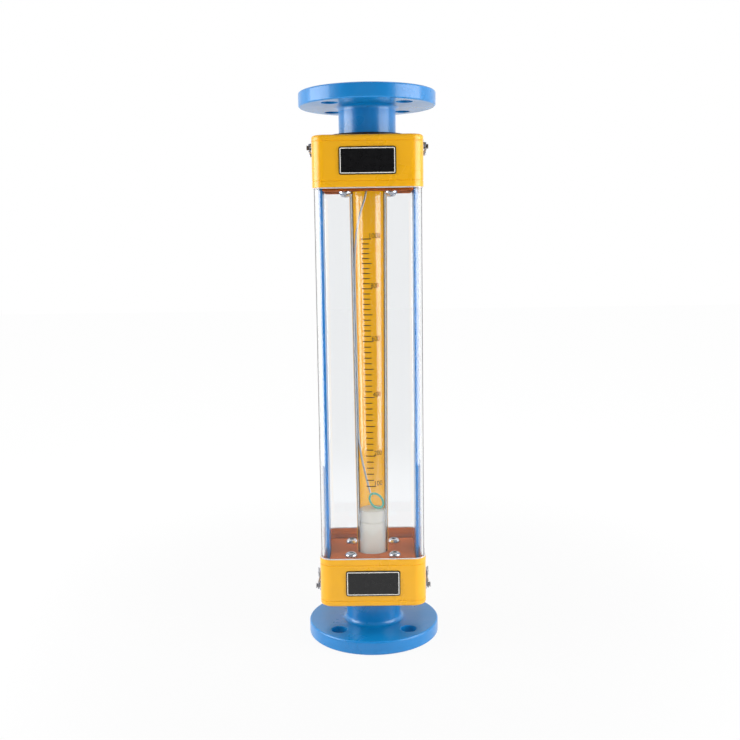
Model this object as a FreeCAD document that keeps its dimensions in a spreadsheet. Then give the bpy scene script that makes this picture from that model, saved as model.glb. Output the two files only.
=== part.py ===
"""Glass-tube rotameter for a 25 mm flanged pipe line, as a parametric FreeCAD document.

The meter stands on its lower flange: +Z runs up the tube, the scale faces -Y, and the origin is the
middle of the lower sealing face. Every length is in millimetres and lives in the sheet "Sizes".

Each end is built from its own sealing face inwards: a flanged fitting with a stuffing box, a PTFE
liner, a float stop that the glass tube stands on, packing, a gland ring and a gland plate pulled down
by four screws. Two flat bars join the fittings, so the glass carries no pipe load. A cover in two
halves, split at Y = 0, grips a rubber collar on each neck and is drawn together by four toggle latches.
"""
import FreeCAD, Part
import math
import os

import Sketcher
from FreeCAD import Placement, Rotation, Vector

SIZES = [
    ("overall_length", 470, "sealing face to sealing face"),
    ("flange_diameter", 115, ""),
    ("flange_thickness", 12, ""),
    ("flange_chamfer", 1, ""),
    ("bolt_circle", 85, "pitch circle of the flange bolts"),
    ("bolt_hole", 14, "diameter"),
    ("bolt_count", 4, ""),
    ("neck_wall", 5, "round the stuffing box"),
    ("neck_fillet", 4, "root of the neck at the flange"),
    ("head_radius", 42, "round head that carries the stuffing box"),
    ("flat_depth", 3.4, "cut off each side of the head for the side bars"),
    ("head_thickness", 12, ""),
    ("head_fillet", 3, "under the head, at the neck"),
    ("packing_room", 2.9, "tube's upper end to the bore of the stuffing box"),
    ("socket_depth", 17, ""),
    ("fit_gap", 0.1, "gap round pieces that are pushed together"),
    ("liner_bore", 25, "nominal bore of the meter"),
    ("liner_wall", 3, ""),
    ("flare_diameter", 68, "the liner turned out over the sealing face"),
    ("flare_thickness", 2.5, ""),
    ("plate_thickness", 4.5, "gland plate"),
    ("plate_gap", 9, "head to gland plate"),
    ("plate_bar_gap", 1.1, "gland plate to side bar"),
    ("plate_half_depth", 30, ""),
    ("plate_corner", 3, ""),
    ("lower_plate_face", 74.5, "lower sealing face to the gland plate's inner face"),
    ("upper_plate_face", 82, "upper sealing face to the gland plate's inner face"),
    ("packing_height", 10, ""),
    ("gland_collar_reach", 4, "collar of the gland ring beyond the stuffing box"),
    ("gland_collar_height", 6, ""),
    ("gland_screw_circle", 54, "pitch circle"),
    ("gland_screw", 6, "diameter"),
    ("gland_screw_bite", 9, "length in the head"),
    ("drill_room", 1, "blind hole beyond its screw"),
    ("gland_head", 10.5, "button head diameter"),
    ("gland_head_rise", 3.3, ""),
    ("gland_key", 4, "hexagon socket across its flats"),
    ("tube_low_radius", 13.2, "outside of the glass at its lower end"),
    ("tube_high_radius", 16.1, "outside of the glass at its upper end"),
    ("tube_wall", 1.7, ""),
    ("tube_gap", 0.5, "glass to gland ring and gland plate"),
    ("stop_thickness", 3, "ring that the tube stands on"),
    ("stop_opening", 11.5, "inner radius of the ring"),
    ("stop_spoke", 3, "width of the spokes that carry the post"),
    ("stop_post_radius", 3, ""),
    ("stop_post_length", 11, ""),
    ("float_length", 54, ""),
    ("float_gap", 0.23, "bore to the edge that the scale is read at"),
    ("float_head_height", 10, ""),
    ("float_step", 0.35, "head to body, in radius"),
    ("float_groove", 1.2, "width of the groove under the head"),
    ("float_groove_depth", 0.7, ""),
    ("float_tail_height", 14, ""),
    ("float_tail_radius", 4, ""),
    ("float_chamfer", 0.8, ""),
    ("bar_thickness", 3, ""),
    ("bar_width", 30, ""),
    ("bar_screw", 5, "diameter"),
    ("bar_screw_pitch", 16, ""),
    ("bar_screw_bite", 9, "length in the head"),
    ("bar_screw_head", 8, "pan head diameter"),
    ("bar_screw_head_height", 2, ""),
    ("head_clearance", 2.8, "head to the inside of the caps, front and rear"),
    ("case_corner", 11, "outside of the caps"),
    ("case_split", 0.3, "gap between the front and rear halves"),
    ("cap_wall", 1.2, ""),
    ("cap_start", 38.6, "sealing face to the cap's closed end"),
    ("cap_height", 41.4, ""),
    ("cap_end_fillet", 2.2, ""),
    ("bead_inset", 5, "pressed line, from each end of the cap"),
    ("bead_width", 0.9, ""),
    ("bead_depth", 0.35, ""),
    ("window_wall", 2, ""),
    ("window_gap", 0.1, "cap to window"),
    ("window_inset", 9, "length of window inside each cap"),
    ("bar_clearance", 0.3, "window to side bar"),
    ("collar_rim_reach", 10.5, "rubber collar outside the cap, beyond the neck"),
    ("collar_rim", 2.8, ""),
    ("collar_web", 4, "rubber between the neck and the cap's hole"),
    ("collar_inner_reach", 8, "rubber collar inside the cap, beyond the neck"),
    ("collar_inner", 2.4, ""),
    ("snug_gap", 0.05, "gap round pieces that press or hang on each other"),
    ("name_width", 46, "bare nameplate"),
    ("name_height", 22, ""),
    ("name_thickness", 0.8, ""),
    ("name_corner", 1.5, ""),
    ("wire_radius", 0.9, "retaining wire"),
    ("wire_wall_gap", 0.25, "wire to glass"),
    ("wire_hook", 2.5, "length above the upper stop's face"),
    ("wire_straight", 24, "from that face down to the first bend"),
    ("wire_cross", 26, "down from there, on its way to the glass"),
    ("wire_settle", 35, "down from there to the glass"),
    ("wire_leave", 62, "height above the float at which it leaves the glass"),
    ("wire_sink", 33, "height above the float of the last bend"),
    ("wire_front", 1.5, "in front of the tube's axis, beside the glass"),
    ("loop_front", 2.6, "in front of the tube's axis"),
    ("loop_side", 3.6, "right of the tube's axis"),
    ("loop_strand", 1, "radius of the loop's plastic strand"),
    ("loop_long", 7.2, "half length of the loop"),
    ("loop_short", 5, "half width of the loop"),
    ("latch_rise", 7.4, "cap's closed end to the latch's middle"),
    ("latch_half", 5, "half height of the latch plates"),
    ("latch_sheet", 0.8, "plates and lever web"),
    ("ear_sheet", 0.6, "ears and lever flanges"),
    ("ear_radius", 1.9, ""),
    ("base_near", 3, "latch base, from the split rearwards"),
    ("base_far", 19.5, ""),
    ("pivot_out", 2.9, "lever pivot above the cap's side"),
    ("pivot_back", 7, "lever pivot behind the split"),
    ("pivot_pin", 0.8, "radius"),
    ("pivot_gap", 0.05, "running gap round pins"),
    ("side_gap", 0.2, "lever flange to ear"),
    ("lever_root", 1.7, "radius of the lever round its pivot"),
    ("lever_low", 1.1, "underside of the lever flanges"),
    ("lever_high", 4.5, "outside of the lever web"),
    ("lever_end", 19.2, ""),
    ("lever_nose", 2, "slope at the end of the lever's flanges"),
    ("lever_web_start", 13, ""),
    ("lever_tip_reach", 2.2, "finger lip beyond the lever's end"),
    ("lever_tip_lift", 0.9, ""),
    ("bail_out", 2.3, "bail pivot above the cap's side"),
    ("bail_back", 11, "bail pivot behind the split"),
    ("bail_wire", 0.7, "radius"),
    ("bail_half", 2.8, "half width of the bail"),
    ("bail_bend", 1.3, "radius of the bail's corners"),
    ("hook_out", 3.2, "cross-bar above the cap's side"),
    ("hook_front", 14, "cross-bar in front of the split"),
    ("hook_gap", 0.25, "cross-bar to the catch's wall"),
    ("hook_lip", 1.2, "cross-bar's middle to the underside of the lip"),
    ("hook_reach", 2.55, "length of the lip over the cross-bar"),
    ("hook_half", 1.8, "half width of the hook"),
    ("catch_near", 7.5, "catch plate, from the split forwards"),
    ("catch_far", 22.5, ""),
    ("rivet_radius", 0.9, ""),
    ("rivet_head", 1.5, ""),
    ("rivet_rise", 0.6, ""),
    ("base_rivet_near", 12.6, ""),
    ("base_rivet_far", 17.4, ""),
    ("catch_rivet_near", 9.9, ""),
    ("catch_rivet_far", 20.5, ""),
    ("cutter_margin", 3, "how far a cutting shape runs past what it cuts"),
]

doc = FreeCAD.newDocument("Rotameter")
sheet = doc.addObject("Spreadsheet::Sheet", "Sizes")
for row, (alias, number, note) in enumerate(SIZES, 1):
    sheet.set(f"A{row}", alias)
    sheet.set(f"B{row}", str(number))
    sheet.set(f"C{row}", note)
    sheet.setAlias(f"B{row}", alias)
doc.recompute()

NODES = []


def value(text):
    """Number that an expression on the sheet gives."""
    return float(sheet.evalExpression(text.replace("Sizes.", "")))


def keep(thing, label):
    """Give a finished piece its name and put it on the list of nodes."""
    thing.Label = label
    NODES.append(thing)
    return thing


class End:
    """One end of the meter, with depths counted from its sealing face inwards."""

    def __init__(self, name):
        self.name = name
        self.lower = name == "lower"
        self.plate_face = f"Sizes.{name}_plate_face"
        self.plate_back = f"{self.plate_face} - Sizes.plate_thickness"
        self.head_inner = f"{self.plate_back} - Sizes.plate_gap"
        self.head_outer = f"{self.head_inner} - Sizes.head_thickness"
        self.socket_floor = f"{self.head_inner} - Sizes.socket_depth"
        self.tube_end = f"{self.socket_floor} + Sizes.stop_thickness"
        self.stop_tip = f"{self.tube_end} + Sizes.stop_post_length"
        self.cap_open = "Sizes.cap_start + Sizes.cap_height"
        self.window_end = f"{self.cap_open} - Sizes.window_inset"
        self.latch_height = "Sizes.cap_start + Sizes.latch_rise"

    def z(self, depth):
        """Height above the lower sealing face of a depth at this end."""
        return f"({depth})" if self.lower else f"(Sizes.overall_length - ({depth}))"

    def span(self, near, far):
        """Lower height and length of the stretch between two depths, near first."""
        return self.z(near if self.lower else far), f"({far}) - ({near})"


LOWER = End("lower")
UPPER = End("upper")
ENDS = (LOWER, UPPER)
SIDES = (("left", -1), ("right", 1))

TUBE_BOTTOM = LOWER.z(LOWER.tube_end)
TUBE_TOP = UPPER.z(UPPER.tube_end)
FLOAT_REST = LOWER.z(LOWER.stop_tip)
FLOAT_TOP = f"({FLOAT_REST} + Sizes.float_length)"
BORE = "(Sizes.liner_bore / 2 + Sizes.liner_wall + Sizes.fit_gap)"
SOCKET = "(Sizes.tube_high_radius + Sizes.packing_room)"
NECK = f"({SOCKET} + Sizes.neck_wall)"
FLAT = "(Sizes.head_radius - Sizes.flat_depth)"
BAR_FACE = f"({FLAT} + Sizes.bar_thickness)"
CASE_WIDTH = (
    f"({BAR_FACE} + Sizes.bar_clearance + Sizes.window_wall + Sizes.window_gap + Sizes.cap_wall)"
)
CASE_DEPTH = "(Sizes.head_radius + Sizes.head_clearance + Sizes.cap_wall)"


def tube_radius(height):
    """Outside radius of the tapered glass at a height."""
    share = f"(({height}) - {TUBE_BOTTOM}) / ({TUBE_TOP} - {TUBE_BOTTOM})"
    return f"(Sizes.tube_low_radius + (Sizes.tube_high_radius - Sizes.tube_low_radius) * {share})"


def bore_radius(height):
    """Inside radius of the tapered glass at a height."""
    return f"({tube_radius(height)} - Sizes.tube_wall)"


def times(sign, text):
    """The expression on the given side of the middle plane."""
    return f"{sign} * ({text})"


class Outline:
    """A sketch on one of a body's own planes, with each point tied to the sheet."""

    def __init__(self, body, name, plane, offset=None):
        self.sketch = body.newObject("Sketcher::SketchObject", name)
        support = next(item for item in body.Origin.OriginFeatures if item.Role == plane)
        self.sketch.AttachmentSupport = (support, [""])
        self.sketch.MapMode = "FlatFace"
        if offset:
            self.sketch.setExpression(".AttachmentOffset.Base.z", offset)

    def tie(self, kind, text, *target):
        """Add one dimension and bind it to its expression."""
        number = self.sketch.addConstraint(Sketcher.Constraint(kind, *target, value(text)))
        self.sketch.setExpression(f"Constraints[{number}]", text)

    def pin(self, line, point, x, y):
        """Hold one point at its distances from the plane's origin."""
        self.tie("DistanceX", x, -1, 1, line, point)
        self.tie("DistanceY", y, -1, 1, line, point)

    def join(self, *ends):
        """Make two line ends one point."""
        self.sketch.addConstraint(Sketcher.Constraint("Coincident", *ends))

    def polygon(self, points):
        """Closed outline of straight lines."""
        spots = [Vector(value(x), value(y), 0) for x, y in points]
        lines = [
            self.sketch.addGeometry(Part.LineSegment(start, end))
            for start, end in zip(spots, spots[1:] + spots[:1])
        ]
        for line, following in zip(lines, lines[1:] + lines[:1]):
            self.join(line, 2, following, 1)
        for line, (x, y) in zip(lines, points):
            self.pin(line, 1, x, y)
        return self

    def box(self, x0, y0, x1, y1):
        """Rectangle between two corners."""
        return self.polygon([(x0, y0), (x1, y0), (x1, y1), (x0, y1)])

    def circle(self, x, y, radius):
        """Circle about a point."""
        centre = Vector(value(x), value(y), 0)
        ring = self.sketch.addGeometry(Part.Circle(centre, Vector(0, 0, 1), value(radius)))
        self.pin(ring, 3, x, y)
        self.tie("Radius", radius, ring)
        return self

    def rounded_box(self, half_x, half_y, radius):
        """Rectangle about the origin with round corners."""
        x, y, r = value(half_x), value(half_y), value(radius)
        inner_x, inner_y = f"({half_x}) - ({radius})", f"({half_y}) - ({radius})"
        quarters = [(1, 1), (-1, 1), (-1, -1), (1, -1)]
        arcs = []
        for turn, (sx, sy) in enumerate(quarters):
            circle = Part.Circle(Vector(sx * (x - r), sy * (y - r), 0), Vector(0, 0, 1), r)
            start = turn * math.pi / 2
            arc = self.sketch.addGeometry(Part.ArcOfCircle(circle, start, start + math.pi / 2))
            arcs.append(arc)
        for turn, (arc, following) in enumerate(zip(arcs, arcs[1:] + arcs[:1])):
            sx, sy = quarters[turn]
            geometry = self.sketch.Geometry
            side = Part.LineSegment(geometry[arc].EndPoint, geometry[following].StartPoint)
            line = self.sketch.addGeometry(side)
            self.join(arc, 2, line, 1)
            self.join(line, 2, following, 1)
            self.tie("DistanceX", times(sx, inner_x), -1, 1, arc, 3)
            if turn % 2 == 0:
                self.pin(arc, 1, times(sx, half_x), times(sy, inner_y))
                self.pin(arc, 2, times(sx, inner_x), times(sy, half_y))
            else:
                self.pin(arc, 1, times(sx, inner_x), times(sy, half_y))
                self.pin(arc, 2, times(sx, half_x), times(sy, inner_y))
        return self


class Piece:
    """A PartDesign body and the features that shape it."""

    def __init__(self, label):
        self.label = label
        self.body = doc.addObject("PartDesign::Body", label)
        self.body.Label = label
        self.count = 0

    def name(self, word):
        """Next feature name of this piece."""
        self.count += 1
        return f"{self.label}_{word}_{self.count}"

    def outline(self, plane, offset=None):
        """New sketch on one of the body's planes."""
        return Outline(self.body, self.name("outline"), plane, offset)

    def turned(self, profile):
        """Turn a profile of radius and height about the upright axis."""
        outline = self.outline("XZ_Plane").polygon(profile)
        turn = self.body.newObject("PartDesign::Revolution", self.name("turned"))
        turn.Profile = outline.sketch
        turn.ReferenceAxis = (outline.sketch, ["V_Axis"])
        turn.Angle = 360
        doc.recompute()
        return self

    def pad(self, outline, length, both_ways=False):
        """Raise a sketch into a solid."""
        pad = self.body.newObject("PartDesign::Pad", self.name("pad"))
        pad.Profile = outline.sketch
        pad.setExpression("Length", length)
        pad.SideType = "Symmetric" if both_ways else "One side"
        doc.recompute()
        return pad

    def cut(self, outline, length=None, both_ways=False, along_normal=False):
        """Cut a sketch out of the solid, right through if no length is given."""
        before = self.body.Shape.Volume
        pocket = self.body.newObject("PartDesign::Pocket", self.name("cut"))
        pocket.Profile = outline.sketch
        if length is None:
            pocket.Type = "ThroughAll"
        else:
            pocket.setExpression("Length", length)
        pocket.SideType = "Symmetric" if both_ways else "One side"
        pocket.Reversed = along_normal
        doc.recompute()
        if pocket.Shape.Volume > before - 1e-6:
            raise RuntimeError(f"{pocket.Name} removes nothing")
        return pocket

    def around(self, feature, count):
        """Repeat a feature about the upright axis."""
        ring = self.body.newObject("PartDesign::PolarPattern", self.name("ring"))
        ring.Originals = [feature]
        ring.Axis = (feature.Profile[0], ["N_Axis"])
        ring.Angle = 360
        ring.setExpression("Occurrences", count)
        self.body.Tip = ring
        doc.recompute()

    def mirrored(self, feature, plane):
        """Repeat a feature on the other side of one of the body's planes."""
        twin = self.body.newObject("PartDesign::Mirrored", self.name("twin"))
        twin.Originals = [feature]
        support = next(item for item in self.body.Origin.OriginFeatures if item.Role == plane)
        twin.MirrorPlane = (support, [""])
        self.body.Tip = twin
        doc.recompute()

    def dress(self, kind, radius, wanted):
        """Fillet or chamfer the edges that a test picks out."""
        tip = self.body.Tip
        names = [f"Edge{i}" for i, edge in enumerate(tip.Shape.Edges, 1) if wanted(edge)]
        if not names:
            raise RuntimeError(f"{self.label} has no edge for its {kind}")
        feature = self.body.newObject(f"PartDesign::{kind}", self.name(kind.lower()))
        feature.Base = (tip, names)
        feature.setExpression("Radius" if kind == "Fillet" else "Size", radius)
        doc.recompute()

    def done(self):
        """Put the piece on the list of nodes."""
        return keep(self.body, self.label)


def is_ring(radius, height):
    """Test for a round edge of a radius at a height."""
    wanted_radius, wanted_height = value(radius), value(height)

    def test(edge):
        curve = edge.Curve
        return (
            isinstance(curve, Part.Circle)
            and abs(curve.Radius - wanted_radius) < 1e-4
            and abs(curve.Center.z - wanted_height) < 1e-4
        )

    return test


def at_height(height):
    """Test for an edge that lies level at a height."""
    wanted = value(height)

    def test(edge):
        box = edge.BoundBox
        return abs(box.ZMin - wanted) < 1e-4 and abs(box.ZMax - wanted) < 1e-4

    return test


def fitting(end):
    """Flange, neck and round head in one casting, bored for the liner and the stuffing box."""
    piece = Piece(f"{end.name}_fitting")
    rim = "Sizes.flange_diameter / 2"
    chamfer = "Sizes.flange_chamfer"
    thick = "Sizes.flange_thickness"
    recess = "Sizes.flare_diameter / 2 + Sizes.fit_gap"
    profile = [
        (recess, "0"),
        (f"{rim} - {chamfer}", "0"),
        (rim, chamfer),
        (rim, f"{thick} - {chamfer}"),
        (f"{rim} - {chamfer}", thick),
        (NECK, thick),
        (NECK, end.head_outer),
        ("Sizes.head_radius", end.head_outer),
        ("Sizes.head_radius", end.head_inner),
        (SOCKET, end.head_inner),
        (SOCKET, end.socket_floor),
        (BORE, end.socket_floor),
        (BORE, "Sizes.flare_thickness"),
        (recess, "Sizes.flare_thickness"),
    ]
    piece.turned([(radius, end.z(depth)) for radius, depth in profile])
    piece.dress("Fillet", "Sizes.neck_fillet", is_ring(NECK, end.z(thick)))
    piece.dress("Fillet", "Sizes.head_fillet", is_ring(NECK, end.z(end.head_outer)))

    bottom, height = end.span(end.head_outer, end.head_inner)
    side = piece.outline("XY_Plane", bottom)
    side.box(FLAT, "-Sizes.head_radius", "Sizes.head_radius", "Sizes.head_radius")
    flat = piece.cut(side, height, along_normal=True)
    piece.mirrored(flat, "YZ_Plane")

    bolt = piece.outline("XY_Plane", end.span("0", thick)[0])
    eighth = "Sizes.bolt_circle / 2 * cos(45 deg)"
    bolt.circle(eighth, eighth, "Sizes.bolt_hole / 2")
    piece.around(piece.cut(bolt, thick, along_normal=True), "Sizes.bolt_count")

    screw = piece.outline("XY_Plane", end.z(end.head_inner))
    spot = "Sizes.gland_screw_circle / 2 * cos(45 deg)"
    screw.circle(spot, spot, "Sizes.gland_screw / 2 + Sizes.fit_gap")
    depth = "Sizes.gland_screw_bite + Sizes.drill_room"
    piece.around(piece.cut(screw, depth, along_normal=not end.lower), "4")

    tapped = piece.outline("YZ_Plane", FLAT)
    middle = f"({end.z(end.head_inner)} + {end.z(end.head_outer)}) / 2"
    for sign in (-1, 1):
        across = times(sign, "Sizes.bar_screw_pitch / 2")
        tapped.circle(across, middle, "Sizes.bar_screw / 2 + Sizes.fit_gap")
    piece.mirrored(piece.cut(tapped, "Sizes.bar_screw_bite + Sizes.drill_room"), "YZ_Plane")
    return piece.done()


def liner(end):
    """PTFE sleeve through the neck, turned out over the sealing face."""
    inner = "Sizes.liner_bore / 2"
    outer = f"{inner} + Sizes.liner_wall"
    profile = [
        (inner, "0"),
        ("Sizes.flare_diameter / 2", "0"),
        ("Sizes.flare_diameter / 2", "Sizes.flare_thickness"),
        (outer, "Sizes.flare_thickness"),
        (outer, end.socket_floor),
        (inner, end.socket_floor),
    ]
    piece = Piece(f"{end.name}_liner")
    piece.turned([(radius, end.z(depth)) for radius, depth in profile])
    return piece.done()


def float_stop(end):
    """PTFE ring under the tube, with four spokes and a post that the float runs up against."""
    disc, opening = f"{SOCKET} - Sizes.fit_gap", "Sizes.stop_opening"
    profile = [
        (opening, end.socket_floor),
        (disc, end.socket_floor),
        (disc, end.tube_end),
        (opening, end.tube_end),
    ]
    piece = Piece(f"{end.name}_stop")
    piece.turned([(radius, end.z(depth)) for radius, depth in profile])
    bottom, height = end.span(end.socket_floor, end.tube_end)
    half, reach = "Sizes.stop_spoke / 2", "Sizes.stop_opening + Sizes.stop_spoke / 2"
    spoke = piece.outline("XY_Plane", bottom).polygon([
        (f"{half} * cos(45 deg)", f"-{half} * cos(45 deg)"),
        (f"({reach} + {half}) * cos(45 deg)", f"({reach} - {half}) * cos(45 deg)"),
        (f"({reach} - {half}) * cos(45 deg)", f"({reach} + {half}) * cos(45 deg)"),
        (f"-{half} * cos(45 deg)", f"{half} * cos(45 deg)"),
    ])
    piece.around(piece.pad(spoke, height), "4")
    bottom, height = end.span(end.socket_floor, end.stop_tip)
    post = piece.outline("XY_Plane", bottom).circle("0", "0", "Sizes.stop_post_radius")
    piece.pad(post, height)
    return piece.done()


def packing(end):
    """Ring squeezed round the glass in the stuffing box."""
    far = f"{end.tube_end} + Sizes.packing_height"
    outer = f"{SOCKET} - Sizes.fit_gap"
    ring = [(end.tube_end, tube_radius(end.z(end.tube_end))), (far, tube_radius(end.z(far)))]
    profile = [
        (f"{ring[0][1]} + Sizes.fit_gap", end.tube_end),
        (outer, end.tube_end),
        (outer, far),
        (f"{ring[1][1]} + Sizes.fit_gap", far),
    ]
    piece = Piece(f"{end.name}_packing")
    piece.turned([(radius, end.z(depth)) for radius, depth in profile])
    return piece.done()


def gland_ring(end):
    """Ring that carries the gland plate's push into the stuffing box."""
    start = f"{end.tube_end} + Sizes.packing_height"
    step = f"{end.plate_back} - Sizes.gland_collar_height"
    inner = f"{tube_radius(end.z(end.plate_back))} + Sizes.tube_gap"
    sleeve = f"{SOCKET} - 2 * Sizes.fit_gap"
    collar_edge = f"{SOCKET} + Sizes.gland_collar_reach"
    profile = [
        (inner, start),
        (sleeve, start),
        (sleeve, step),
        (collar_edge, step),
        (collar_edge, end.plate_back),
        (inner, end.plate_back),
    ]
    piece = Piece(f"{end.name}_gland_ring")
    piece.turned([(radius, end.z(depth)) for radius, depth in profile])
    return piece.done()


def gland_plate(end):
    """Oblong plate that four screws pull towards the head."""
    piece = Piece(f"{end.name}_gland_plate")
    bottom, height = end.span(end.plate_back, end.plate_face)
    sheet_outline = piece.outline("XY_Plane", bottom)
    half_width = f"{FLAT} - Sizes.plate_bar_gap"
    sheet_outline.rounded_box(half_width, "Sizes.plate_half_depth", "Sizes.plate_corner")
    piece.pad(sheet_outline, height)
    hole = piece.outline("XY_Plane", bottom)
    hole.circle("0", "0", f"{tube_radius(end.z(end.plate_face))} + Sizes.tube_gap")
    piece.cut(hole, height, along_normal=True)
    screw = piece.outline("XY_Plane", bottom)
    spot = "Sizes.gland_screw_circle / 2 * cos(45 deg)"
    screw.circle(spot, spot, "Sizes.gland_screw / 2 + 2 * Sizes.fit_gap")
    piece.around(piece.cut(screw, height, along_normal=True), "4")
    return piece.done()


def button_screw(length):
    """Button-head screw with its head's seat at the origin and its shank along -Z."""
    radius, head = value("Sizes.gland_screw / 2"), value("Sizes.gland_head / 2")
    rise, key = value("Sizes.gland_head_rise"), value("Sizes.gland_key / 2")
    dome = Part.makeCylinder(head, rise)
    dome = dome.makeFillet(rise * 0.85, [edge for edge in dome.Edges if at_top(edge, rise)])
    shank = Part.makeCylinder(radius, length, Vector(0, 0, -length))
    corners = [
        Vector(math.cos(turn * math.pi / 3), math.sin(turn * math.pi / 3), 0) * (key / math.cos(math.pi / 6))
        for turn in range(7)
    ]
    socket = Part.Face(Part.makePolygon(corners)).extrude(Vector(0, 0, rise))
    socket.translate(Vector(0, 0, rise * 0.45))
    return dome.fuse(shank).removeSplitter().cut(socket)


def pan_screw(length):
    """Pan-head screw with its head's seat at the origin and its shank along -Z."""
    radius, head = value("Sizes.bar_screw / 2"), value("Sizes.bar_screw_head / 2")
    rise = value("Sizes.bar_screw_head_height")
    top = Part.makeCylinder(head, rise)
    top = top.makeFillet(rise * 0.45, [edge for edge in top.Edges if at_top(edge, rise)])
    shank = Part.makeCylinder(radius, length, Vector(0, 0, -length))
    slot = Part.makeBox(2 * head, rise * 0.5, rise * 0.5, Vector(-head, -rise * 0.25, rise * 0.5))
    return top.fuse(shank).removeSplitter().cut(slot)


def at_top(edge, height):
    """Whether an edge lies level at a height."""
    return edge.BoundBox.ZMin > height - 1e-6


def rivet(length):
    """Round-head rivet with its head on the origin, its shank along -Z and a tail beyond."""
    radius, head, rise = (value(f"Sizes.rivet_{part}") for part in ("radius", "head", "rise"))
    dome = Part.makeCylinder(head, rise)
    dome = dome.makeFillet(rise * 0.7, [edge for edge in dome.Edges if at_top(edge, rise)])
    shank = Part.makeCylinder(radius, length, Vector(0, 0, -length))
    tail = Part.makeCylinder(head * 0.8, rise, Vector(0, 0, -length - rise))
    return dome.fuse(shank).fuse(tail).removeSplitter()


def group(label, shape, places):
    """Separate copies of one fastener, as one node."""
    copies = []
    for point, direction in places:
        copy = shape.copy()
        copy.Placement = Placement(point, Rotation(Vector(0, 0, 1), direction))
        copies.append(copy)
    return solid_feature(label, Part.makeCompound(copies))


def solid_feature(label, shape):
    """Node whose shape is made by Part's own functions."""
    feature = doc.addObject("Part::Feature", label)
    feature.Shape = shape
    return keep(feature, label)


def gland_screws(end):
    """Four button-head screws through the gland plate into the head."""
    length = value("Sizes.plate_thickness + Sizes.plate_gap + Sizes.gland_screw_bite")
    reach = value("Sizes.gland_screw_circle / 2 * cos(45 deg)")
    face = value(end.z(end.plate_face))
    outward = Vector(0, 0, 1 if end.lower else -1)
    places = [
        (Vector(sx * reach, sy * reach, face), outward) for sx in (-1, 1) for sy in (-1, 1)
    ]
    return group(f"{end.name}_gland_screws", button_screw(length), places)


def glass_tube():
    """Tapered borosilicate tube, wider at the top, between the two stops."""
    low, high, wall = "Sizes.tube_low_radius", "Sizes.tube_high_radius", "Sizes.tube_wall"
    profile = [
        (f"{low} - {wall}", TUBE_BOTTOM),
        (low, TUBE_BOTTOM),
        (high, TUBE_TOP),
        (f"{high} - {wall}", TUBE_TOP),
    ]
    piece = Piece("glass_tube")
    piece.turned(profile)
    return piece.done()


def meter_float():
    """Turned PTFE float: reading head, groove, body and tapered tail on the lower post."""
    chamfer = "Sizes.float_chamfer"
    neck = f"{FLOAT_TOP} - Sizes.float_head_height"
    head = f"{bore_radius(neck)} - Sizes.float_gap"
    body = f"{head} - Sizes.float_step"
    groove = f"{neck} - Sizes.float_groove"
    profile = [
        ("0", FLOAT_REST),
        ("Sizes.float_tail_radius", FLOAT_REST),
        (body, f"{FLOAT_REST} + Sizes.float_tail_height"),
        (body, groove),
        (f"{body} - Sizes.float_groove_depth", groove),
        (f"{body} - Sizes.float_groove_depth", neck),
        (head, neck),
        (head, f"{FLOAT_TOP} - {chamfer}"),
        (f"{head} - {chamfer}", FLOAT_TOP),
        ("0", FLOAT_TOP),
    ]
    piece = Piece("float")
    piece.turned(profile)
    return piece.done()


def side_bar(name, sign):
    """Flat bar screwed to both heads."""
    piece = Piece(f"{name}_side_bar")
    plane = FLAT if sign > 0 else f"-{BAR_FACE}"
    half = "Sizes.bar_width / 2"
    bottom, top = LOWER.z(LOWER.head_outer), UPPER.z(UPPER.head_outer)
    face = piece.outline("YZ_Plane", plane).box(f"-{half}", bottom, half, top)
    piece.pad(face, "Sizes.bar_thickness")
    holes = piece.outline("YZ_Plane", plane)
    for end in ENDS:
        middle = f"({end.z(end.head_inner)} + {end.z(end.head_outer)}) / 2"
        for side in (-1, 1):
            across = times(side, "Sizes.bar_screw_pitch / 2")
            holes.circle(across, middle, "Sizes.bar_screw / 2 + Sizes.fit_gap")
    piece.cut(holes, "Sizes.bar_thickness", along_normal=True)
    return piece.done()


def bar_screws():
    """Eight pan-head screws that hold the side bars to the heads."""
    outside = value(BAR_FACE)
    half = value("Sizes.bar_screw_pitch / 2")
    places = []
    for end in ENDS:
        middle = value(f"({end.z(end.head_inner)} + {end.z(end.head_outer)}) / 2")
        for sign in (-1, 1):
            for across in (-half, half):
                places.append((Vector(sign * outside, across, middle), Vector(sign, 0, 0)))
    length = value("Sizes.bar_thickness + Sizes.bar_screw_bite")
    return group("bar_screws", pan_screw(length), places)


def collar(end):
    """Rubber collar on the neck, with a groove that the cap's end wall clamps."""
    neck, rim = f"{NECK} + Sizes.snug_gap", f"{NECK} + Sizes.collar_rim_reach"
    web, inner = f"{NECK} + Sizes.collar_web", f"{NECK} + Sizes.collar_inner_reach"
    wall = "Sizes.cap_start + Sizes.cap_wall + Sizes.snug_gap"
    rim_face = "Sizes.cap_start - Sizes.snug_gap"
    profile = [
        (neck, f"{rim_face} - Sizes.collar_rim"),
        (rim, f"{rim_face} - Sizes.collar_rim"),
        (rim, rim_face),
        (web, rim_face),
        (web, wall),
        (inner, wall),
        (inner, f"{wall} + Sizes.collar_inner"),
        (neck, f"{wall} + Sizes.collar_inner"),
    ]
    piece = Piece(f"{end.name}_collar")
    piece.turned([(radius, end.z(depth)) for radius, depth in profile])
    return piece.done()


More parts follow.
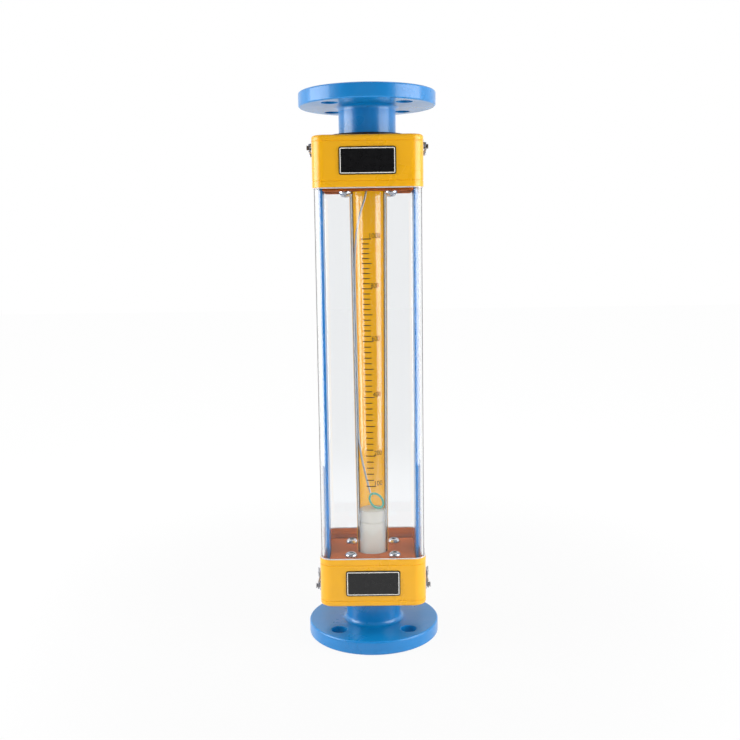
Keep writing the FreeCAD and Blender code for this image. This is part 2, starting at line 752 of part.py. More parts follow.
def halves(whole, name, noun):
    """Split a shell at the middle plane into its front and rear halves."""
    for half, sign in (("front", -1), ("rear", 1)):
        block = doc.addObject("Part::Box", f"{half}_{name}_block")
        block.setExpression("Length", f"4 * {CASE_WIDTH}")
        block.setExpression("Width", f"2 * {CASE_DEPTH}")
        block.setExpression("Height", "2 * Sizes.overall_length")
        near = "Sizes.case_split / 2"
        start = near if sign > 0 else f"-({near} + 2 * {CASE_DEPTH})"
        block.setExpression(".Placement.Base.x", f"-2 * {CASE_WIDTH}")
        block.setExpression(".Placement.Base.y", start)
        block.setExpression(".Placement.Base.z", "-Sizes.overall_length / 2")
        common = doc.addObject("Part::Common", f"{half}_{name}")
        common.Base = whole
        common.Tool = block
        doc.recompute()
        keep(common, noun.format(half=half))


def cap(end):
    """Pressed cap with its end wall, two pressed lines and the holes for collar and latches."""
    piece = Piece(f"{end.name}_cap_shell")
    width, depth, corner = CASE_WIDTH, CASE_DEPTH, "Sizes.case_corner"
    wall, margin = "Sizes.cap_wall", "Sizes.cutter_margin"
    bottom, height = end.span("Sizes.cap_start", end.cap_open)
    piece.pad(piece.outline("XY_Plane", bottom).rounded_box(width, depth, corner), height)
    piece.dress("Fillet", "Sizes.cap_end_fillet", at_height(end.z("Sizes.cap_start")))
    hollow_start, hollow = end.span(f"Sizes.cap_start + {wall}", end.cap_open)
    inside = piece.outline("XY_Plane", hollow_start)
    inside.rounded_box(f"{width} - {wall}", f"{depth} - {wall}", f"{corner} - {wall}")
    piece.cut(inside, hollow, along_normal=True)
    for line in ("Sizes.cap_start + Sizes.bead_inset", f"{end.cap_open} - Sizes.bead_inset"):
        start = f"{end.z(line)} - Sizes.bead_width / 2"
        bead = piece.outline("XY_Plane", start)
        sunk = "Sizes.bead_depth"
        bead.rounded_box(f"{width} - {sunk}", f"{depth} - {sunk}", f"{corner} - {sunk}")
        bead.rounded_box(f"{width} + {margin}", f"{depth} + {margin}", f"{corner} + {margin}")
        piece.cut(bead, "Sizes.bead_width", along_normal=True)
    hole_start, hole_length = end.span("Sizes.cap_start", f"Sizes.cap_start + {wall}")
    hole = piece.outline("XY_Plane", hole_start)
    hole.circle("0", "0", f"{NECK} + Sizes.collar_web + Sizes.snug_gap")
    piece.cut(hole, hole_length, along_normal=True)
    rivets = piece.outline("YZ_Plane")
    for across in rivet_places():
        rivets.circle(across, end.z(end.latch_height), "Sizes.rivet_radius")
    piece.cut(rivets, both_ways=True)
    halves(piece.body, f"{end.name}_cap", end.name + "_{half}_cap")


def rivet_places():
    """Rivets of the latch base and of the catch, along Y."""
    return (
        "Sizes.base_rivet_near",
        "Sizes.base_rivet_far",
        "-Sizes.catch_rivet_near",
        "-Sizes.catch_rivet_far",
    )


def window():
    """Clear shell between the caps, in two halves."""
    piece = Piece("window_shell")
    case = (CASE_WIDTH, CASE_DEPTH, "Sizes.case_corner")
    outer = [f"{size} - Sizes.cap_wall - Sizes.window_gap" for size in case]
    inner = [f"{text} - Sizes.window_wall" for text in outer]
    bottom = LOWER.z(LOWER.window_end)
    height = f"{UPPER.z(UPPER.window_end)} - {bottom}"
    ring = piece.outline("XY_Plane", bottom)
    ring.rounded_box(*outer)
    ring.rounded_box(*inner)
    piece.pad(ring, height)
    halves(piece.body, "window", "{half}_window")


def nameplate(end):
    """Bare plate glued to the front of a cap."""
    piece = Piece(f"{end.name}_nameplate")
    middle = end.z("Sizes.cap_start + Sizes.cap_height / 2")
    half_width, half_height = "Sizes.name_width / 2", "Sizes.name_height / 2"
    face = piece.outline("XZ_Plane", CASE_DEPTH)
    face.box(f"-{half_width}", f"{middle} - {half_height}", half_width, f"{middle} + {half_height}")
    piece.pad(face, "Sizes.name_thickness")
    piece.dress("Fillet", "Sizes.name_corner", is_short_y)
    return piece.done()


def is_short_y(edge):
    """Whether an edge runs along Y."""
    box = edge.BoundBox
    return box.YLength > 1e-4 and box.XLength < 1e-4 and box.ZLength < 1e-4


def bent_rod(points, bends, radius):
    """Round rod along straight runs joined by tangent arcs."""
    edges = []
    start = points[0]
    for before, corner, after, bend in zip(points, points[1:], points[2:], bends):
        inward = (before - corner).normalize()
        outward = (after - corner).normalize()
        half = inward.getAngle(outward) / 2
        back = bend / math.tan(half)
        first = corner + inward * back
        last = corner + outward * back
        bisector = (inward + outward).normalize()
        middle = corner + bisector * (bend / math.sin(half) - bend)
        edges.append(Part.LineSegment(start, first).toShape())
        edges.append(Part.Arc(first, middle, last).toShape())
        start = last
    edges.append(Part.LineSegment(start, points[-1]).toShape())
    spine = Part.Wire(edges)
    direction = points[1] - points[0]
    profile = Part.Wire([Part.makeCircle(radius, points[0], direction)])
    return spine.makePipeShell([profile], True, True)


def gentle_bends(points):
    """As large a bend at each inner point as its two runs allow."""
    bends = []
    for before, corner, after in zip(points, points[1:], points[2:]):
        runs = (corner - before).Length, (after - corner).Length
        turn = (corner - before).getAngle(after - corner)
        bends.append(0.45 * min(runs) / math.tan(turn / 2))
    return bends


def retainer_wire():
    """Stiff wire that keeps the float down: held behind the upper post, bowed to the glass."""
    radius, front = value("Sizes.wire_radius"), value("Sizes.wire_front")
    post_y = -value("Sizes.stop_post_radius + Sizes.wire_radius + Sizes.snug_gap")
    face = value(UPPER.z(UPPER.tube_end))
    low = value(FLOAT_TOP)

    def beside_glass(height, share=1.0):
        """Point a share of the way from the axis to the left wall of the bore."""
        reach = value(bore_radius(repr(height))) - radius - value("Sizes.wire_wall_gap")
        return Vector(-share * math.sqrt(reach**2 - front**2), -front, height)

    straight, cross, settle = (value(f"Sizes.wire_{part}") for part in ("straight", "cross", "settle"))
    points = [
        Vector(0, post_y, face + value("Sizes.wire_hook")),
        Vector(radius * 0.8, post_y, face - straight),
        beside_glass(face - straight - cross, 0.72),
        beside_glass(face - straight - cross - settle),
        beside_glass(low + value("Sizes.wire_leave")),
        beside_glass(low + value("Sizes.wire_sink"), 0.58),
        loop_tip() + loop_direction() * (value("Sizes.loop_strand") + radius / 2),
    ]
    bends = gentle_bends(points)
    print("retainer wire bends:", [round(bend, 1) for bend in bends])
    return solid_feature("retainer_wire", bent_rod(points, bends, radius))


def loop_direction():
    """Direction from the loop's middle to the wire."""
    return Vector(-0.59, 0, 0.81).normalize()


def loop_middle():
    """Middle of the loop, which rests on the float's head."""
    long, short, strand = (value(f"Sizes.loop_{part}") for part in ("long", "short", "strand"))
    lean = loop_direction()
    half_height = math.hypot(long * lean.z, short * lean.x)
    height = value(f"{FLOAT_TOP} + Sizes.snug_gap") + half_height + strand
    return Vector(value("Sizes.loop_side"), -value("Sizes.loop_front"), height)


def loop_tip():
    """Point of the loop that meets the wire."""
    return loop_middle() + loop_direction() * value("Sizes.loop_long")


def retainer_loop():
    """Oval plastic loop at the wire's end."""
    middle, tip = loop_middle(), loop_tip()
    lean = loop_direction()
    side = middle + Vector(lean.z, 0, -lean.x) * value("Sizes.loop_short")
    oval = Part.Ellipse(tip, side, middle)
    spine = Part.Wire([oval.toShape()])
    tangent = oval.tangent(oval.FirstParameter)[0]
    start = oval.value(oval.FirstParameter)
    profile = Part.Wire([Part.makeCircle(value("Sizes.loop_strand"), start, tangent)])
    return solid_feature("retainer_loop", spine.makePipeShell([profile], True, True))


def out(sign, distance):
    """X of a place that stands off a cap's side."""
    return times(sign, f"{CASE_WIDTH} + {distance}")


def latch_base(label, end, sign):
    """Riveted plate with two ears that carry the lever."""
    piece = Piece(f"{label}_base")
    middle = end.z(end.latch_height)
    thick = "Sizes.latch_sheet"
    plane = CASE_WIDTH if sign > 0 else f"-({CASE_WIDTH} + {thick})"
    plate = piece.outline("YZ_Plane", plane)
    low, high = f"{middle} - Sizes.latch_half", f"{middle} + Sizes.latch_half"
    plate.box("Sizes.base_near", low, "Sizes.base_far", high)
    piece.pad(plate, thick)
    ear = piece.outline("XY_Plane", middle)
    near = "Sizes.pivot_back - Sizes.ear_radius"
    far = "Sizes.pivot_back + Sizes.ear_radius"
    ear.box(out(sign, "0"), near, out(sign, "Sizes.pivot_out"), far)
    piece.pad(ear, "2 * Sizes.latch_half", both_ways=True)
    eye = piece.outline("XY_Plane", middle)
    eye.circle(out(sign, "Sizes.pivot_out"), "Sizes.pivot_back", "Sizes.ear_radius")
    piece.pad(eye, "2 * Sizes.latch_half", both_ways=True)
    between = piece.outline("XY_Plane", middle)
    beyond_ear = "Sizes.pivot_out + 2 * Sizes.ear_radius"
    margin = "Sizes.cutter_margin"
    between.box(out(sign, thick), f"{near} - {margin}", out(sign, beyond_ear), f"{far} + {margin}")
    piece.cut(between, "2 * (Sizes.latch_half - Sizes.ear_sheet)", both_ways=True)
    pin = piece.outline("XY_Plane", middle)
    hole = "Sizes.pivot_pin + Sizes.pivot_gap / 2"
    pin.circle(out(sign, "Sizes.pivot_out"), "Sizes.pivot_back", hole)
    piece.cut(pin, both_ways=True)
    rivets = piece.outline("YZ_Plane", plane)
    for across in ("Sizes.base_rivet_near", "Sizes.base_rivet_far"):
        rivets.circle(across, middle, "Sizes.rivet_radius")
    piece.cut(rivets, thick, along_normal=True)
    return piece.done()


def latch_lever(label, end, sign):
    """Channel-shaped lever: two flanges on the pivot, a web and a finger lip."""
    piece = Piece(f"{label}_lever")
    middle = end.z(end.latch_height)
    half = "Sizes.latch_half - Sizes.ear_sheet - Sizes.side_gap"
    inside = f"2 * ({half} - Sizes.ear_sheet)"
    web = "Sizes.lever_high - Sizes.latch_sheet"
    tip = "Sizes.lever_end + Sizes.lever_tip_reach"
    body = piece.outline("XY_Plane", middle)
    body.polygon([
        (out(sign, "Sizes.lever_low"), "Sizes.pivot_back"),
        (out(sign, "Sizes.lever_low"), "Sizes.lever_end - Sizes.lever_nose"),
        (out(sign, web), "Sizes.lever_end"),
        (out(sign, f"{web} + Sizes.lever_tip_lift"), tip),
        (out(sign, "Sizes.lever_high + Sizes.lever_tip_lift"), tip),
        (out(sign, "Sizes.lever_high"), "Sizes.lever_end"),
        (out(sign, "Sizes.lever_high"), "Sizes.pivot_back"),
    ])
    piece.pad(body, f"2 * ({half})", both_ways=True)
    root = piece.outline("XY_Plane", middle)
    root.circle(out(sign, "Sizes.pivot_out"), "Sizes.pivot_back", "Sizes.lever_root")
    piece.pad(root, f"2 * ({half})", both_ways=True)
    channel = piece.outline("XY_Plane", middle)
    above, start = "Sizes.lever_high + Sizes.cutter_margin", "Sizes.pivot_back - Sizes.cutter_margin"
    channel.polygon([
        (out(sign, "0"), start),
        (out(sign, "0"), tip),
        (out(sign, web), tip),
        (out(sign, web), "Sizes.lever_web_start"),
        (out(sign, above), "Sizes.lever_web_start"),
        (out(sign, above), start),
    ])
    piece.cut(channel, inside, both_ways=True)
    holes = piece.outline("XY_Plane", middle)
    pin = "Sizes.pivot_pin + Sizes.pivot_gap"
    holes.circle(out(sign, "Sizes.pivot_out"), "Sizes.pivot_back", pin)
    eye = "Sizes.bail_wire + Sizes.pivot_gap"
    holes.circle(out(sign, "Sizes.bail_out"), "Sizes.bail_back", eye)
    piece.cut(holes, both_ways=True)
    return piece.done()


def latch_bail(label, end, sign):
    """Wire bail: its turned-out ends sit in the lever, its cross-bar in the hook."""
    height = value(end.z(end.latch_height))
    half, wire = value("Sizes.bail_half"), value("Sizes.bail_wire")
    reach = value("Sizes.latch_half - Sizes.ear_sheet - Sizes.side_gap - Sizes.snug_gap")
    pivot = Vector(value(out(sign, "Sizes.bail_out")), value("Sizes.bail_back"), height)
    hook = Vector(value(out(sign, "Sizes.hook_out")), -value("Sizes.hook_front"), height)
    points = [
        pivot + Vector(0, 0, reach),
        pivot + Vector(0, 0, half),
        hook + Vector(0, 0, half),
        hook - Vector(0, 0, half),
        pivot - Vector(0, 0, half),
        pivot - Vector(0, 0, reach),
    ]
    tight, bend = wire + value("Sizes.fit_gap"), value("Sizes.bail_bend")
    shape = bent_rod(points, [tight, bend, bend, tight], wire)
    return solid_feature(f"{label}_bail", shape)


def latch_catch(label, end, sign):
    """Riveted plate with a hook that holds the bail's cross-bar."""
    piece = Piece(f"{label}_catch")
    middle = end.z(end.latch_height)
    thick = "Sizes.latch_sheet"
    plane = CASE_WIDTH if sign > 0 else f"-({CASE_WIDTH} + {thick})"
    plate = piece.outline("YZ_Plane", plane)
    low, high = f"{middle} - Sizes.latch_half", f"{middle} + Sizes.latch_half"
    plate.box("-Sizes.catch_far", low, "-Sizes.catch_near", high)
    piece.pad(plate, thick)
    front = "-(Sizes.hook_front - Sizes.bail_wire - Sizes.hook_gap)"
    back = f"{front} + {thick}"
    under = "Sizes.hook_out + Sizes.hook_lip"
    hook = piece.outline("XY_Plane", middle)
    hook.polygon([
        (out(sign, f"{thick} / 2"), front),
        (out(sign, f"{thick} / 2"), back),
        (out(sign, f"{under} + {thick}"), back),
        (out(sign, f"{under} + {thick}"), f"{front} - Sizes.hook_reach"),
        (out(sign, under), f"{front} - Sizes.hook_reach"),
        (out(sign, under), front),
    ])
    piece.pad(hook, "2 * Sizes.hook_half", both_ways=True)
    rivets = piece.outline("YZ_Plane", plane)
    for across in ("-Sizes.catch_rivet_near", "-Sizes.catch_rivet_far"):
        rivets.circle(across, middle, "Sizes.rivet_radius")
    piece.cut(rivets, thick, along_normal=True)
    return piece.done()


def latch_pins():
    """Short pins, two to a latch, that the levers turn on."""
    radius, sheet_metal = value("Sizes.pivot_pin"), value("Sizes.ear_sheet")
    outer = value("Sizes.latch_half")
    inner = outer - 2 * sheet_metal - value("Sizes.side_gap") + 0.2
    shank = Part.makeCylinder(radius, outer - inner, Vector(0, 0, inner - outer))
    head = Part.makeCylinder(radius * 1.8, sheet_metal)
    head = head.makeFillet(sheet_metal * 0.6, [edge for edge in head.Edges if at_top(edge, sheet_metal)])
    places = []
    for end in ENDS:
        height = value(end.z(end.latch_height))
        for _, sign in SIDES:
            spot = Vector(value(out(sign, "Sizes.pivot_out")), value("Sizes.pivot_back"), height)
            for way in (-1, 1):
                places.append((spot + Vector(0, 0, way * outer), Vector(0, 0, way)))
    return group("latch_pins", head.fuse(shank).removeSplitter(), places)


def latch_rivets():
    """Rivets that hold the latch bases and catches to the caps."""
    length = value("Sizes.latch_sheet + Sizes.cap_wall")
    places = []
    for end in ENDS:
        height = value(end.z(end.latch_height))
        for _, sign in SIDES:
            face = value(out(sign, "Sizes.latch_sheet"))
            for across in rivet_places():
                places.append((Vector(face, value(across), height), Vector(sign, 0, 0)))
    return group("latch_rivets", rivet(length), places)


def latches():
    """Four over-centre toggle latches, two to a cap."""
    for end in ENDS:
        for name, sign in SIDES:
            label = f"{end.name}_{name}"
            latch_base(label, end, sign)
            latch_lever(label, end, sign)
            latch_bail(label, end, sign)
            latch_catch(label, end, sign)
    latch_pins()
    latch_rivets()


def check():
    """Stop if any object failed, or if a node isn't a sound solid."""
    doc.recompute()
    for thing in doc.Objects:
        if "Invalid" in thing.State or "Error" in thing.State:
            raise RuntimeError(f"{thing.Name} failed: {thing.State}")
    for piece in NODES:
        shape = piece.Shape
        if shape.isNull() or not shape.isValid() or not shape.Solids:
            raise RuntimeError(f"{piece.Label} is not a sound solid")


def main():
    """Build every piece, test it and write one STEP file for each."""
    for end in ENDS:
        fitting(end)
        liner(end)
        float_stop(end)
        packing(end)
        gland_ring(end)
        gland_plate(end)
        gland_screws(end)
        collar(end)
        cap(end)
        nameplate(end)
    glass_tube()
    meter_float()
    retainer_wire()
    retainer_loop()
    for name, sign in SIDES:
        side_bar(name, sign)
    bar_screws()
    window()
    latches()
    check()
    os.makedirs("parts", exist_ok=True)
    for piece in NODES:
        piece.Shape.exportStep(f"parts/{piece.Label}.step")
        print(f"{piece.Label}: {len(piece.Shape.Solids)} solid(s), {piece.Shape.Volume:.1f} mm3")
    print(len(NODES), "nodes")


main()
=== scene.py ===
"""Glass-tube rotameter with flanged ends: its visible pieces and finishes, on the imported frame.

Sizes are in millimetres, and a depth is counted from a sealing face inwards.
"""

import sys

import logging
import math
from collections.abc import Callable, Iterator, Sequence
from contextlib import contextmanager
from dataclasses import dataclass
from enum import Enum

import bmesh
import bpy
from mathutils import Matrix, Vector


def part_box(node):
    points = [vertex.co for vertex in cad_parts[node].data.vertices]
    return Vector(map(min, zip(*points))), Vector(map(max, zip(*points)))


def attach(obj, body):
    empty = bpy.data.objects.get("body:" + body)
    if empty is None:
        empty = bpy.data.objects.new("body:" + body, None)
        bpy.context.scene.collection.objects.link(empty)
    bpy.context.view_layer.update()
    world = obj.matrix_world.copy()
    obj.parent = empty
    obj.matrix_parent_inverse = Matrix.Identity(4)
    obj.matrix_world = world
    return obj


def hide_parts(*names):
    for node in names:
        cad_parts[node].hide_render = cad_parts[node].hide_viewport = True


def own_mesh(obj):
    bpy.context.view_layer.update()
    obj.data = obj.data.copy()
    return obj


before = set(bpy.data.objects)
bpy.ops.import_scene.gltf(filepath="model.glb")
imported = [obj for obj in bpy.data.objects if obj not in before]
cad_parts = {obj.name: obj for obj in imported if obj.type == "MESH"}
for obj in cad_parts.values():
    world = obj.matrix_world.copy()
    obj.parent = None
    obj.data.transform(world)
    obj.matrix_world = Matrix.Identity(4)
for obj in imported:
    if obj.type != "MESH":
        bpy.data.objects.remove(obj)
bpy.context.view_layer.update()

MM = 0.001  # metres in a millimetre
WELD = 1e-7  # metres within which two corners are one
NEAR = 0.01  # millimetres within which a place is met
SQUARE = 0.9  # least part of a direction or normal that counts as along an axis
BODY = "meter"
log = logging.getLogger("rotameter")

Colour = tuple[float, float, float, float]
Range = tuple[float, float]
Profile = list[tuple[float, float]]
Test = Callable[[Vector, Vector], bool]
Socket = bpy.types.NodeSocket
Sockets = bpy.types.bpy_prop_collection

FULL = (0.0, 1.0)  # range of a mask
CLOUD = (0.3, 0.7)  # range in which a cloudy pattern mostly lies
PURE_WHITE = (1.0, 1.0, 1.0, 1.0)


def paint(red: float, green: float, blue: float) -> Colour:
    """Linear colour of a paint card.

    Args:
        red: Card value from 0 to 255.
        green: Card value from 0 to 255.
        blue: Card value from 0 to 255.

    Returns:
        The colour as shaders take it, with an alpha of 1.
    """
    card = [level / 255 for level in (red, green, blue)]
    linear = [c / 12.92 if c <= 0.04045 else ((c + 0.055) / 1.055) ** 2.4 for c in card]
    return (linear[0], linear[1], linear[2], 1.0)


# ---------------------------------------------------------------- places


class End(Enum):
    """One end of the meter."""

    LOWER = "lower"
    UPPER = "upper"

    @property
    def face(self) -> float:
        """Height of the sealing face."""
        low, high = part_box(f"{self.value}_fitting")
        return (low.z if self is End.LOWER else high.z) / MM

    def z(self, depth: float) -> float:
        """Height of a depth at this end."""
        return self.face + depth if self is End.LOWER else self.face - depth

    def depths(self, node: str) -> tuple[float, float]:
        """Depths between which a CAD node lies.

        Args:
            node: Name of the node.

        Returns:
            Its nearest and its furthest depth at this end.
        """
        near, far = sorted(abs(corner.z / MM - self.face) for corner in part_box(node))
        return near, far


class Side(Enum):
    """Side of the meter, as its reader sees it."""

    LEFT = "left"
    RIGHT = "right"


class Half(Enum):
    """Half of the cover."""

    FRONT = "front"
    REAR = "rear"


# ---------------------------------------------------------------- bench


class Pick(Enum):
    """Kind of element that edit mode selects."""

    EDGE = "EDGE"
    FACE = "FACE"


def operate_on(*pieces: bpy.types.Object) -> None:
    """Leave only these pieces selected, in object mode, with the first one active."""
    if bpy.context.object is not None and bpy.context.object.mode != "OBJECT":
        bpy.ops.object.mode_set(mode="OBJECT")
    bpy.ops.object.select_all(action="DESELECT")
    for piece in pieces:
        piece.select_set(True)
    if pieces:
        bpy.context.view_layer.objects.active = pieces[0]


class Workpiece:
    """A mesh on the bench, shaped with edit-mode tools and kept in place in its own mesh."""

    def __init__(self, piece: bpy.types.Object, name: str) -> None:
        """Take an object on the bench.

        Args:
            piece: The object.
            name: Its name in the finished meter.
        """
        piece.name = name
        piece.data.name = name
        self.piece = piece

    @classmethod
    def block(cls, name: str, low: Sequence[float], high: Sequence[float]) -> "Workpiece":
        """Start from a block.

        Args:
            name: Name of the piece.
            low: Lowest corner.
            high: Highest corner.

        Returns:
            The block.
        """
        operate_on()
        near, far = Vector(low) * MM, Vector(high) * MM
        bpy.ops.mesh.primitive_cube_add(size=1, location=(near + far) / 2, scale=far - near)
        return cls(bpy.context.object, name).settled()

    @classmethod
    def turned(
        cls, name: str, profile: Profile, sides: int = 128, joined: bool = True
    ) -> "Workpiece":
        """Draw a ring out along a profile, as a lathe would cut it.

        Args:
            name: Name of the piece.
            profile: Radius and height of each corner, in order.
            sides: Number of sides round the axis.
            joined: Whether the last corner leads back to the first one.

        Returns:
            The turned piece, with outward normals.
        """
        operate_on()
        radius, height = profile[0]
        bpy.ops.mesh.primitive_circle_add(
            vertices=sides, radius=radius * MM, location=(0, 0, height * MM)
        )
        work = cls(bpy.context.object, name).settled()
        route = profile + profile[:1] if joined else profile
        with work.editing(Pick.EDGE):
            bpy.ops.mesh.select_all(action="SELECT")
            for (r0, z0), (r1, z1) in zip(route, route[1:]):
                step = (0, 0, (z1 - z0) * MM)
                bpy.ops.mesh.extrude_region_move(TRANSFORM_OT_translate={"value": step})
                if r1 != r0:
                    grow = r1 / r0
                    bpy.ops.transform.resize(value=(grow, grow, 1), center_override=(0, 0, z1 * MM))
        return work.welded(fill=not joined)

    @classmethod
    def refined(
        cls, node: str, edge: float = 0.12, segments: int = 2, angle: float = 30
    ) -> "Workpiece":
        """Copy a CAD node, make its faces whole and soften its edges.

        Args:
            node: Name of the CAD node.
            edge: Width of the softened edges.
            segments: Number of steps across an edge.
            angle: Least angle, in degrees, of an edge that is softened.

        Returns:
            The copy.
        """
        piece = bpy.data.objects.new(f"{node}_finished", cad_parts[node].data.copy())
        bpy.context.collection.objects.link(piece)
        work = cls(piece, f"{node}_finished")
        operate_on(piece)
        bpy.ops.mesh.customdata_custom_splitnormals_clear()
        return work.welded(flat=1.0).softened(edge, segments, angle).smooth()

    @classmethod
    def drawn(
        cls, name: str, points: Sequence[Vector], radius: float, steps: int = 24
    ) -> "Workpiece":
        """Bend a round wire along a smooth line.

        Args:
            name: Name of the piece.
            points: Control points of the line.
            radius: Radius of the wire.
            steps: Number of steps between two control points.

        Returns:
            The wire, with closed ends.
        """
        line = bpy.data.curves.new(name, "CURVE")
        line.dimensions = "3D"
        spline = line.splines.new("NURBS")
        spline.points.add(len(points) - 1)
        for knot, point in zip(spline.points, points):
            knot.co = (*(point * MM), 1)
        spline.order_u = 3
        spline.use_endpoint_u = True
        spline.resolution_u = steps
        return cls.from_line(name, line, radius)

    @classmethod
    def from_line(cls, name: str, line: bpy.types.Curve, radius: float) -> "Workpiece":
        """Give a line its round section and make it a mesh.

        Args:
            name: Name of the piece.
            line: The curve.
            radius: Radius of the section.

        Returns:
            The piece.
        """
        line.bevel_depth = radius * MM
        line.bevel_resolution = 6
        line.use_fill_caps = True
        piece = bpy.data.objects.new(name, line)
        bpy.context.collection.objects.link(piece)
        operate_on(piece)
        bpy.ops.object.convert(target="MESH")
        return cls(bpy.context.object, name).welded()

    @contextmanager
    def editing(self, pick: Pick) -> Iterator[None]:
        """Edit mode on this piece alone, with nothing selected at the start."""
        operate_on(self.piece)
        bpy.ops.object.mode_set(mode="EDIT")
        bpy.ops.mesh.select_mode(type=pick.value)
        bpy.ops.mesh.select_all(action="DESELECT")
        yield
        bpy.ops.object.mode_set(mode="OBJECT")

    def select(self, test: Test, least_angle: float = 0.0) -> int:
        """Select the edges or faces that pass a test, in edit mode.

        Args:
            test: Takes an element's middle, in millimetres, and its direction or normal.
            least_angle: Least angle between an edge's faces, in degrees.

        Returns:
            How many were selected.
        """
        net = bmesh.from_edit_mesh(self.piece.data)
        count = 0
        if bpy.context.tool_settings.mesh_select_mode[2]:
            for face in net.faces:
                if test(face.calc_center_median() / MM, face.normal):
                    face.select_set(True)
                    count += 1
        else:
            for edge in net.edges:
                if least_angle and edge.calc_face_angle(0.0) < math.radians(least_angle):
                    continue
                first, second = (corner.co for corner in edge.verts)
                if test((first + second) / (2 * MM), (second - first).normalized()):
                    edge.select_set(True)
                    count += 1
        bmesh.update_edit_mesh(self.piece.data)
        return count

    def welded(self, fill: bool = False, flat: float = 0.0) -> "Workpiece":
        """Join the corners that coincide and turn every face outwards.

        Args:
            fill: Whether open ends are closed first.
            flat: Angle in degrees up to which faces are made one, or 0 to leave them.

        Returns:
            This piece.
        """
        with self.editing(Pick.EDGE):
            bpy.ops.mesh.select_all(action="SELECT")
            bpy.ops.mesh.remove_doubles(threshold=WELD)
            if fill:
                bpy.ops.mesh.fill_holes(sides=0)
            if flat:
                bpy.ops.mesh.dissolve_limited(angle_limit=math.radians(flat))
            bpy.ops.mesh.select_all(action="SELECT")
            bpy.ops.mesh.normals_make_consistent(inside=False)
        return self

    def settled(self) -> "Workpiece":
        """Move its place, turn and scale into its mesh."""
        operate_on(self.piece)
        bpy.ops.object.transform_apply(location=True, rotation=True, scale=True)
        return self

    def apply(self, kind: str, **settings: object) -> "Workpiece":
        """Add a modifier and apply it.

        Args:
            kind: Kind of modifier.
            settings: Its settings.

        Returns:
            This piece.
        """
        operate_on(self.piece)
        tool = self.piece.modifiers.new(kind.lower(), kind)
        for name, setting in settings.items():
            setattr(tool, name, setting)
        bpy.ops.object.modifier_apply(modifier=tool.name)
        return self

    def softened(
        self, width: float, segments: int = 3, angle: float = 30, where: Test | None = None
    ) -> "Workpiece":
        """Round the sharp edges.

        Args:
            width: Width of the rounding.
            segments: Number of steps across it.
            angle: Least angle of an edge that is rounded, in degrees.
            where: Which edges, by middle and direction, or all of them.

        Returns:
            This piece.
        """
        with self.editing(Pick.EDGE):
            if self.select(where or (lambda middle, along: True), angle):
                bpy.ops.mesh.bevel(
                    offset=width * MM, segments=segments, affect="EDGES", clamp_overlap=False
                )
        return self

    def opened(self, where: Test) -> "Workpiece":
        """Take away the faces that pass a test."""
        with self.editing(Pick.FACE):
            self.select(where)
            bpy.ops.mesh.delete(type="FACE")
        return self

    def thickened(self, wall: float, side: int) -> "Workpiece":
        """Give a sheet its wall: outwards with a side of 1, inwards and evenly with -1."""
        even = side < 0
        return self.apply("SOLIDIFY", thickness=wall * MM, offset=side, use_even_offset=even)

    def drilled(
        self, radius: float, length: float, place: Sequence[float], sides: int
    ) -> "Workpiece":
        """Drill an upright hole.

        Args:
            radius: Radius of the drill.
            length: Length that it cuts.
            place: Middle of that length.
            sides: Number of sides round the drill.

        Returns:
            This piece.
        """
        operate_on()
        bpy.ops.mesh.primitive_cylinder_add(
            vertices=sides,
            radius=radius * MM,
            depth=length * MM,
            location=[part * MM for part in place],
        )
        return self.cut_with(Workpiece(bpy.context.object, "drill").settled())

    def cut_with(self, *cutters: "Workpiece") -> "Workpiece":
        """Take the cutters' shapes out of this piece and put the cutters away."""
        for cutter in cutters:
            self.apply("BOOLEAN", operation="DIFFERENCE", solver="EXACT", object=cutter.piece)
            bpy.data.objects.remove(cutter.piece)
        return self

    def sliced(self, point: Sequence[float], normal: Sequence[float]) -> "Workpiece":
        """Cut at a plane, drop what lies on the normal's side and close the cut.

        Args:
            point: A point of the plane.
            normal: The plane's normal.

        Returns:
            This piece.
        """
        with self.editing(Pick.FACE):
            bpy.ops.mesh.select_all(action="SELECT")
            bpy.ops.mesh.bisect(
                plane_co=Vector(point) * MM, plane_no=normal, use_fill=True, clear_outer=True
            )
        return self

    def scored(self, points: Sequence[Sequence[float]], normal: Sequence[float]) -> "Workpiece":
        """Add lines of edges where planes cross the piece.

        Args:
            points: A point of each plane.
            normal: The planes' normal.

        Returns:
            This piece.
        """
        with self.editing(Pick.FACE):
            for point in points:
                bpy.ops.mesh.select_all(action="SELECT")
                bpy.ops.mesh.bisect(plane_co=Vector(point) * MM, plane_no=normal)
        return self

    def copied(self, name: str) -> "Workpiece":
        """Make a copy with its own mesh."""
        piece = bpy.data.objects.new(name, self.piece.data.copy())
        bpy.context.collection.objects.link(piece)
        return Workpiece(piece, name)

    def turned_over(self, height: float) -> "Workpiece":
        """Mirror the piece in a level plane.

        Args:
            height: Height of the plane.

        Returns:
            This piece, with outward normals.
        """
        with self.editing(Pick.FACE):
            bpy.ops.mesh.select_all(action="SELECT")
            bpy.ops.transform.resize(value=(1, 1, -1), center_override=(0, 0, height * MM))
            bpy.ops.mesh.normals_make_consistent(inside=False)
        return self

    def both_ends(self, label: str) -> list[tuple[End, "Workpiece"]]:
        """Name a lower piece and make its twin for the upper end.

        Args:
            label: What follows the end's name.

        Returns:
            Each end with its piece.
        """
        upper = self.copied(f"upper_{label}").turned_over(middle_height())
        self.piece.name = f"lower_{label}"
        return [(End.LOWER, self), (End.UPPER, upper)]

    def smooth(self, angle: float = 35) -> "Workpiece":
        """Shade smoothly across edges flatter than an angle in degrees, and keep flats flat."""
        operate_on(self.piece)
        bpy.ops.object.shade_smooth_by_angle(angle=math.radians(angle))
        return self.apply("WEIGHTED_NORMAL", keep_sharp=True, weight=100)

